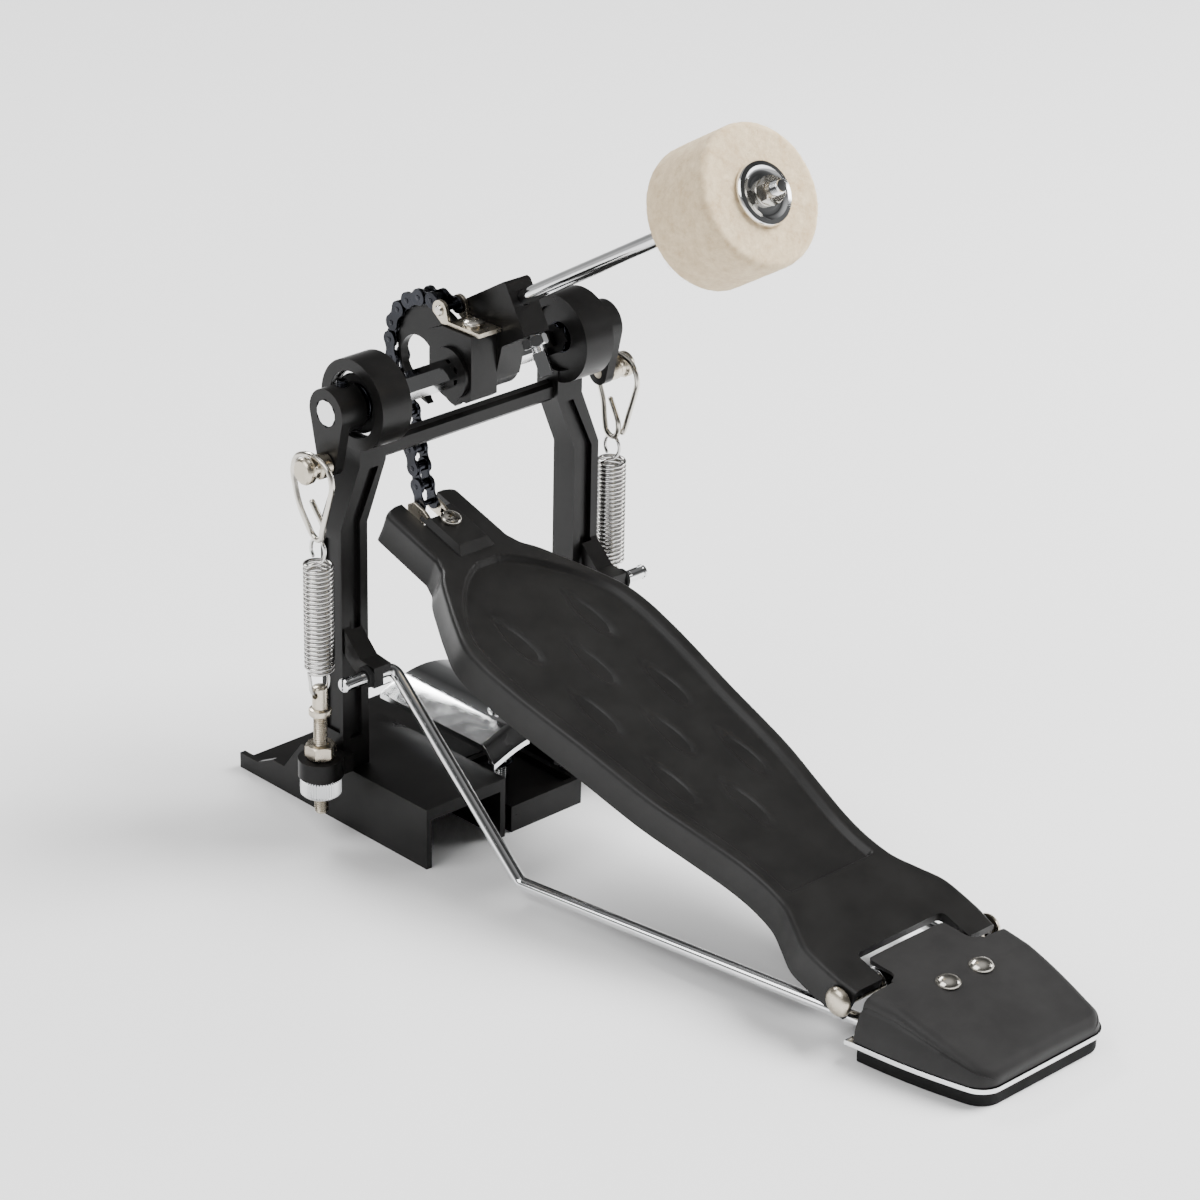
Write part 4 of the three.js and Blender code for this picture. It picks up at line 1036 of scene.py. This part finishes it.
def cover_ridge(y):
    """Height of the cover's middle line: nearly level to the rivets, then falling to a rounded rear edge."""
    height = 27.2
    if y > RIVET_Y:
        return height + 0.055 * (y - RIVET_Y)
    past = RIVET_Y - y
    return height - 0.24 * past - 0.0012 * past ** 2 - 0.85 * rounding(y - HEEL_REAR, 4)


def cover_tongue():
    """The cover's tongue, which runs on from its crowned top over the hinge between the board's arms."""
    reach, root = HEEL_Y + 5.8, HEEL_FRONT - 2.2
    narrow, fillet, corner, low = 21.2, 4.5, 3.0, HEEL_Z + 6.55
    rows, across = 48, 24
    rings = []
    for row in range(rows + 1):
        y = reach + (root - reach) * (row / rows) ** 1.5
        half = narrow - rounding(reach - y, corner) + rounding(y - HEEL_FRONT, fillet)
        top = cover_ridge(y) - 0.01 - rounding(reach - y, 1.2)
        xs = [half * (2 * k / across - 1) for k in range(across + 1)]
        rings.append([(x, y, top - CROWN * (x / 36) ** 2) for x in xs] + [(x, y, low) for x in reversed(xs)])
    return loft(rings)


def cover_shell():
    """The cover: a low crowned shell with leaning sides and rounded shoulders, lofted over its plan."""
    rows, low, top_steps = 60, 8.6, 14
    rings = []
    for row in range(rows + 1):
        y = HEEL_FRONT + (HEEL_REAR - HEEL_FRONT) * (1 - (1 - row / rows) ** 1.3)
        ridge = cover_ridge(y) - rounding(HEEL_FRONT - y, 1.8)
        half = heel_half(y, 1.7, HEEL_REAR - 0.01)
        rise = ridge - low
        lean = 0.26 * rise
        right = [(half, low), (half - 0.2 * lean, low + 0.3 * rise), (half - 0.65 * lean, low + 0.62 * rise)]
        shoulder = min(4.5, half * 0.5)
        for k in range(9):
            a = math.pi / 2 * k / 8
            right.append((half - lean - shoulder + shoulder * math.cos(a * 0.92),
                          ridge - CROWN - lean * (1 - math.sin(a))))
        inner = right[-1][0]
        xs = [inner * (1 - k / top_steps) for k in range(1, top_steps)]
        right += [(x, ridge - CROWN * (x / inner) ** 2) for x in xs]
        ring = [(-x, z) for x, z in right] + [(0, ridge)] + right[::-1]
        rings.append([(x, y, z) for x, z in ring])
    return loft(rings)


def heel():
    """The rubber pad, the steel plate with the hinge's knuckle, the cover and its two rivets."""
    pad = prism(heel_plan(0.9, -270.5, -326.4), "Z", 0, 6)
    piece(pad, "pad_moulding", "frame", "rubber", RUBBER, ["heel_pad"], 0.6)
    wide = 22
    plate = prism(heel_plan(2.3, -266, -327.5), "Z", PLATE_LOW, PLATE_HIGH)
    tongue = box(-wide, wide, HEEL_Y - 8, HEEL_Y + 2, PLATE_LOW, PLATE_HIGH)
    knuckle = bar((HEEL_Y, HEEL_Z), "X", -wide, wide, 6.2, 64)
    neck = box(-wide, wide, HEEL_Y - 4, HEEL_Y + 4, PLATE_LOW, HEEL_Z - 2)
    bore = bar((HEEL_Y, HEEL_Z), "X", -30, 30, 3.15, 32)
    piece(combine(plate, [tongue, knuckle, neck], [bore]), "heel_plate_steel", "frame", "chrome", CHROME,
          ["heel_plate"], 0.3)
    cover = combine(cover_shell(), adds=[cover_tongue()])
    holes = [bar((side * RIVET_X, RIVET_Y), "Z", 20, 40, 2.5, 24) for _, side in SIDES]
    hollow = box(-38, 38, -293, -260, 8, 16)
    cover = combine(cover, cuts=holes + [hollow])
    piece(cover, "cover_moulding", "frame", "cover_plastic", COVER, ["heel_cover"], 0.5, 40)
    dome = [(0, 22), (2.2, 22), (2.2, 26.4), (5.1, 26.5), (5.2, 26.9), (4.9, 27.7), (4.1, 28.6), (2.8, 29.4),
            (1.4, 29.8), (0, 29.9)]
    for letter, side in SIDES:
        rivet = lathe(dome, (side * RIVET_X, RIVET_Y, 0), (0, 0, 1), 48)
        piece(rivet, letter + "_rivet", "frame", "nickel", NICKEL, [letter + "_heel_rivet"], 0, 60)


def radius_rod():
    """One wire bent from boss to boss by way of the heel, with a rubber clip and a slotted tip at each end."""
    pivot = (0, ROD_PIVOT_Y, ROD_PIVOT_Z)
    rear, low = -288, 11.6
    half = [(77, ROD_PIVOT_Y, ROD_PIVOT_Z), (57.6, ROD_PIVOT_Y, ROD_PIVOT_Z - 0.4), (55.4, -94, 7.5),
            (34, -272, low), (30, rear, low)]
    points = half + [(-x, y, z) for x, y, z in reversed(half)]
    wire = sweep(rounded_path(points, 4.6, 10), 2.8, 28)
    piece(wire, "radius_wire", "frame", "chrome", CHROME, ["radius_rod"], 0)
    for letter, side in SIDES:
        out = (side, 0, 0)
        ring = [(3.05, 71.1), (4.2, 71.1), (4.6, 71.5), (4.6, 72.8), (4.2, 73.2), (3.05, 73.2)]
        clip = lathe(ring, pivot, out, 48)
        piece(clip, letter + "_clip", "frame", "nickel", RUBBER, [letter + "_rod_clip"], 0)
        end = [(0, 76), (2.8, 76), (2.8, 83), (3.1, 83.3), (3.1, 84.4), (2.7, 84.9), (0, 85)]
        tip = lathe(end, pivot, out, 40)
        slot = box(side * 79, side * 90, ROD_PIVOT_Y - 0.45, ROD_PIVOT_Y + 0.45, 70, 86)
        piece(combine(tip, cuts=[slot]), letter + "_rod_tip", "frame", "chrome", CHROME, (), 0.15)


# ---- Hoop clamp ----

def hoop_clamp():
    """The arched plate whose front edge curls down, its bolt, and the spring that lifts it."""
    half, crown, edge, thick = 24, 43, 37, 2.4
    front, back, curl = -43, 30, 8
    rows, across = 60, 40
    rings = []
    for row in range(rows + 1):
        y = front + (back - front) * row / rows
        drop = 6.4 * (1 - smoothstep(front, front + curl, y)) ** 1.4
        xs = [half * (2 * k / across - 1) for k in range(across + 1)]
        upper = [(x, y, edge + (crown - edge) * math.cos(x / half * math.pi / 2) - drop) for x in xs]
        rings.append(upper + [(x, y, z - thick) for x, y, z in reversed(upper)])
    slot = [bar((0, CLAMP_Y), "Z", 20, 60, 4.2, 40), box(-4.2, 4.2, -50, CLAMP_Y, 20, 60)]
    plate = combine(loft(rings), cuts=slot)
    piece(plate, "clamp_arch", "hoop_clamp", "chrome", CHROME, ["hoop_clamp_plate"], 0.3)
    head = lathe([(0, 44.3), (6, 44.3), (6.4, 44.8), (6.4, 46.8), (5.6, 47.8), (3.6, 48.3), (0, 48.4)],
                 (0, CLAMP_Y, 0), (0, 0, 1), 48)
    shank = thread((0, CLAMP_Y, 5), (0, 0, 1), 39.6, 2.9, 1.0)
    piece(join([head, shank]), "clamp_screw", "hoop_bolt", "chrome", CHROME, ["hoop_clamp_bolt"], 0, 50)
    coil = helix(0, CLAMP_Y, 13.3, edge, 4.7, 6, 24)
    piece(sweep(coil, 0.8, 12), "clamp_coil", "frame", "blue_steel", BLUED, ["hoop_clamp_spring"], 0)


# ---- Build ----

for letter, side in SIDES:
    upright(letter, side)
    bearing(letter, side)
    crank(letter, side)
    spring(letter, side)
    hook(letter, side)
    tension(letter, side)
hub()
clamp_bolt()
beater()
chain()
anchor()
footboard()
heel()
radius_rod()
hoop_clamp()
dress("base_plate", COAT, 0.6)
dress("cross_bar", COAT, 0.3)
dress("axle_shaft", CHROME, 0.25)
dress("hoop_pad", RUBBER, 0.6)


# ---- Stage, light and camera ----

# Brightness of the sky from straight down, through the horizon at a half, to straight up.
SKY = ((0.0, 0.5), (0.5, 0.9), (0.54, 0.7), (0.62, 0.2), (0.78, 0.06), (0.9, 0.25), (1.0, 0.8))
CAMERA_PLACE = (-1.0168, -1.1377, 0.8003)
CAMERA_YAW, CAMERA_PITCH, CAMERA_ROLL = (math.radians(angle) for angle in (-42.94, -25.11, 0.7))
AIM = (0, -0.1, 0.05)


def floor():
    wide = 6000
    sheet = box(-wide, wide, -wide, wide, -20, 0, "floor")
    material, tree, shader = node_material("floor_paper", (0.93, 0.93, 0.93), 0.6)
    tint(tree, shader.inputs["Base Color"], noise(tree, 3), (0.925, 0.925, 0.927), (0.94, 0.94, 0.941))
    sheet.data.materials.append(material)


def sky():
    """A sky bright at the horizon and dark higher up, which dark and plated parts mirror."""
    world = bpy.data.worlds.new("studio")
    bpy.context.scene.world = world
    world.use_nodes = True
    tree = world.node_tree
    coords = tree.nodes.new("ShaderNodeTexCoord")
    split = tree.nodes.new("ShaderNodeSeparateXYZ")
    span = tree.nodes.new("ShaderNodeMapRange")
    span.inputs["From Min"].default_value = -1
    span.inputs["From Max"].default_value = 1
    ramp = tree.nodes.new("ShaderNodeValToRGB")
    stops = ramp.color_ramp.elements
    for element, (position, value) in zip(stops, (SKY[0], SKY[-1])):
        element.position = position
        element.color = (value, value, value, 1)
    for position, value in SKY[1:-1]:
        stops.new(position).color = (value, value, value, 1)
    background = tree.nodes["Background"]
    background.inputs["Strength"].default_value = 0.8
    tree.links.new(coords.outputs["Generated"], split.inputs["Vector"])
    tree.links.new(split.outputs["Z"], span.inputs["Value"])
    tree.links.new(span.outputs["Result"], ramp.inputs["Fac"])
    tree.links.new(ramp.outputs["Color"], background.inputs["Color"])


def softbox(name, place, aim, size, power, mirrored=True):
    light = bpy.data.lights.new(name, "AREA")
    light.shape = "RECTANGLE"
    light.size, light.size_y = size
    light.energy = power
    obj = bpy.data.objects.new(name, light)
    bpy.context.collection.objects.link(obj)
    obj.location = place
    obj.visible_glossy = mirrored
    obj.rotation_euler = (Vector(aim) - Vector(place)).to_track_quat("-Z", "Y").to_euler()


def camera():
    """A long lens from above the object's left rear corner."""
    level, rise = math.cos(CAMERA_PITCH), math.sin(CAMERA_PITCH)
    forward = Vector((-math.sin(CAMERA_YAW) * level, math.cos(CAMERA_YAW) * level, rise))
    right = Vector((math.cos(CAMERA_YAW), math.sin(CAMERA_YAW), 0))
    up = right.cross(forward)
    rolled_right = right * math.cos(CAMERA_ROLL) + up * math.sin(CAMERA_ROLL)
    rolled_up = up * math.cos(CAMERA_ROLL) - right * math.sin(CAMERA_ROLL)
    data = bpy.data.cameras.new("camera")
    data.lens = 119.86
    data.sensor_width = 36
    data.shift_x = 0.0485
    data.shift_y = -0.0017
    data.clip_end = 50
    obj = bpy.data.objects.new("camera", data)
    bpy.context.collection.objects.link(obj)
    turn = Matrix((rolled_right, rolled_up, -forward)).transposed().to_4x4()
    obj.matrix_world = Matrix.Translation(CAMERA_PLACE) @ turn
    bpy.context.scene.camera = obj


floor()
sky()
softbox("key", (1.5, -0.9, 1.9), AIM, (1.5, 1.5), 180, mirrored=False)
softbox("rim", (1.7, -0.9, 0.7), (0, -0.1, 0.1), (0.5, 0.5), 7)
softbox("fill", (-1.5, 0.2, 1.5), AIM, (1.5, 1.5), 30)
softbox("back", (0.2, 1.9, 1.6), (0, -0.1, 0.1), (1.2, 0.5), 34)
camera()
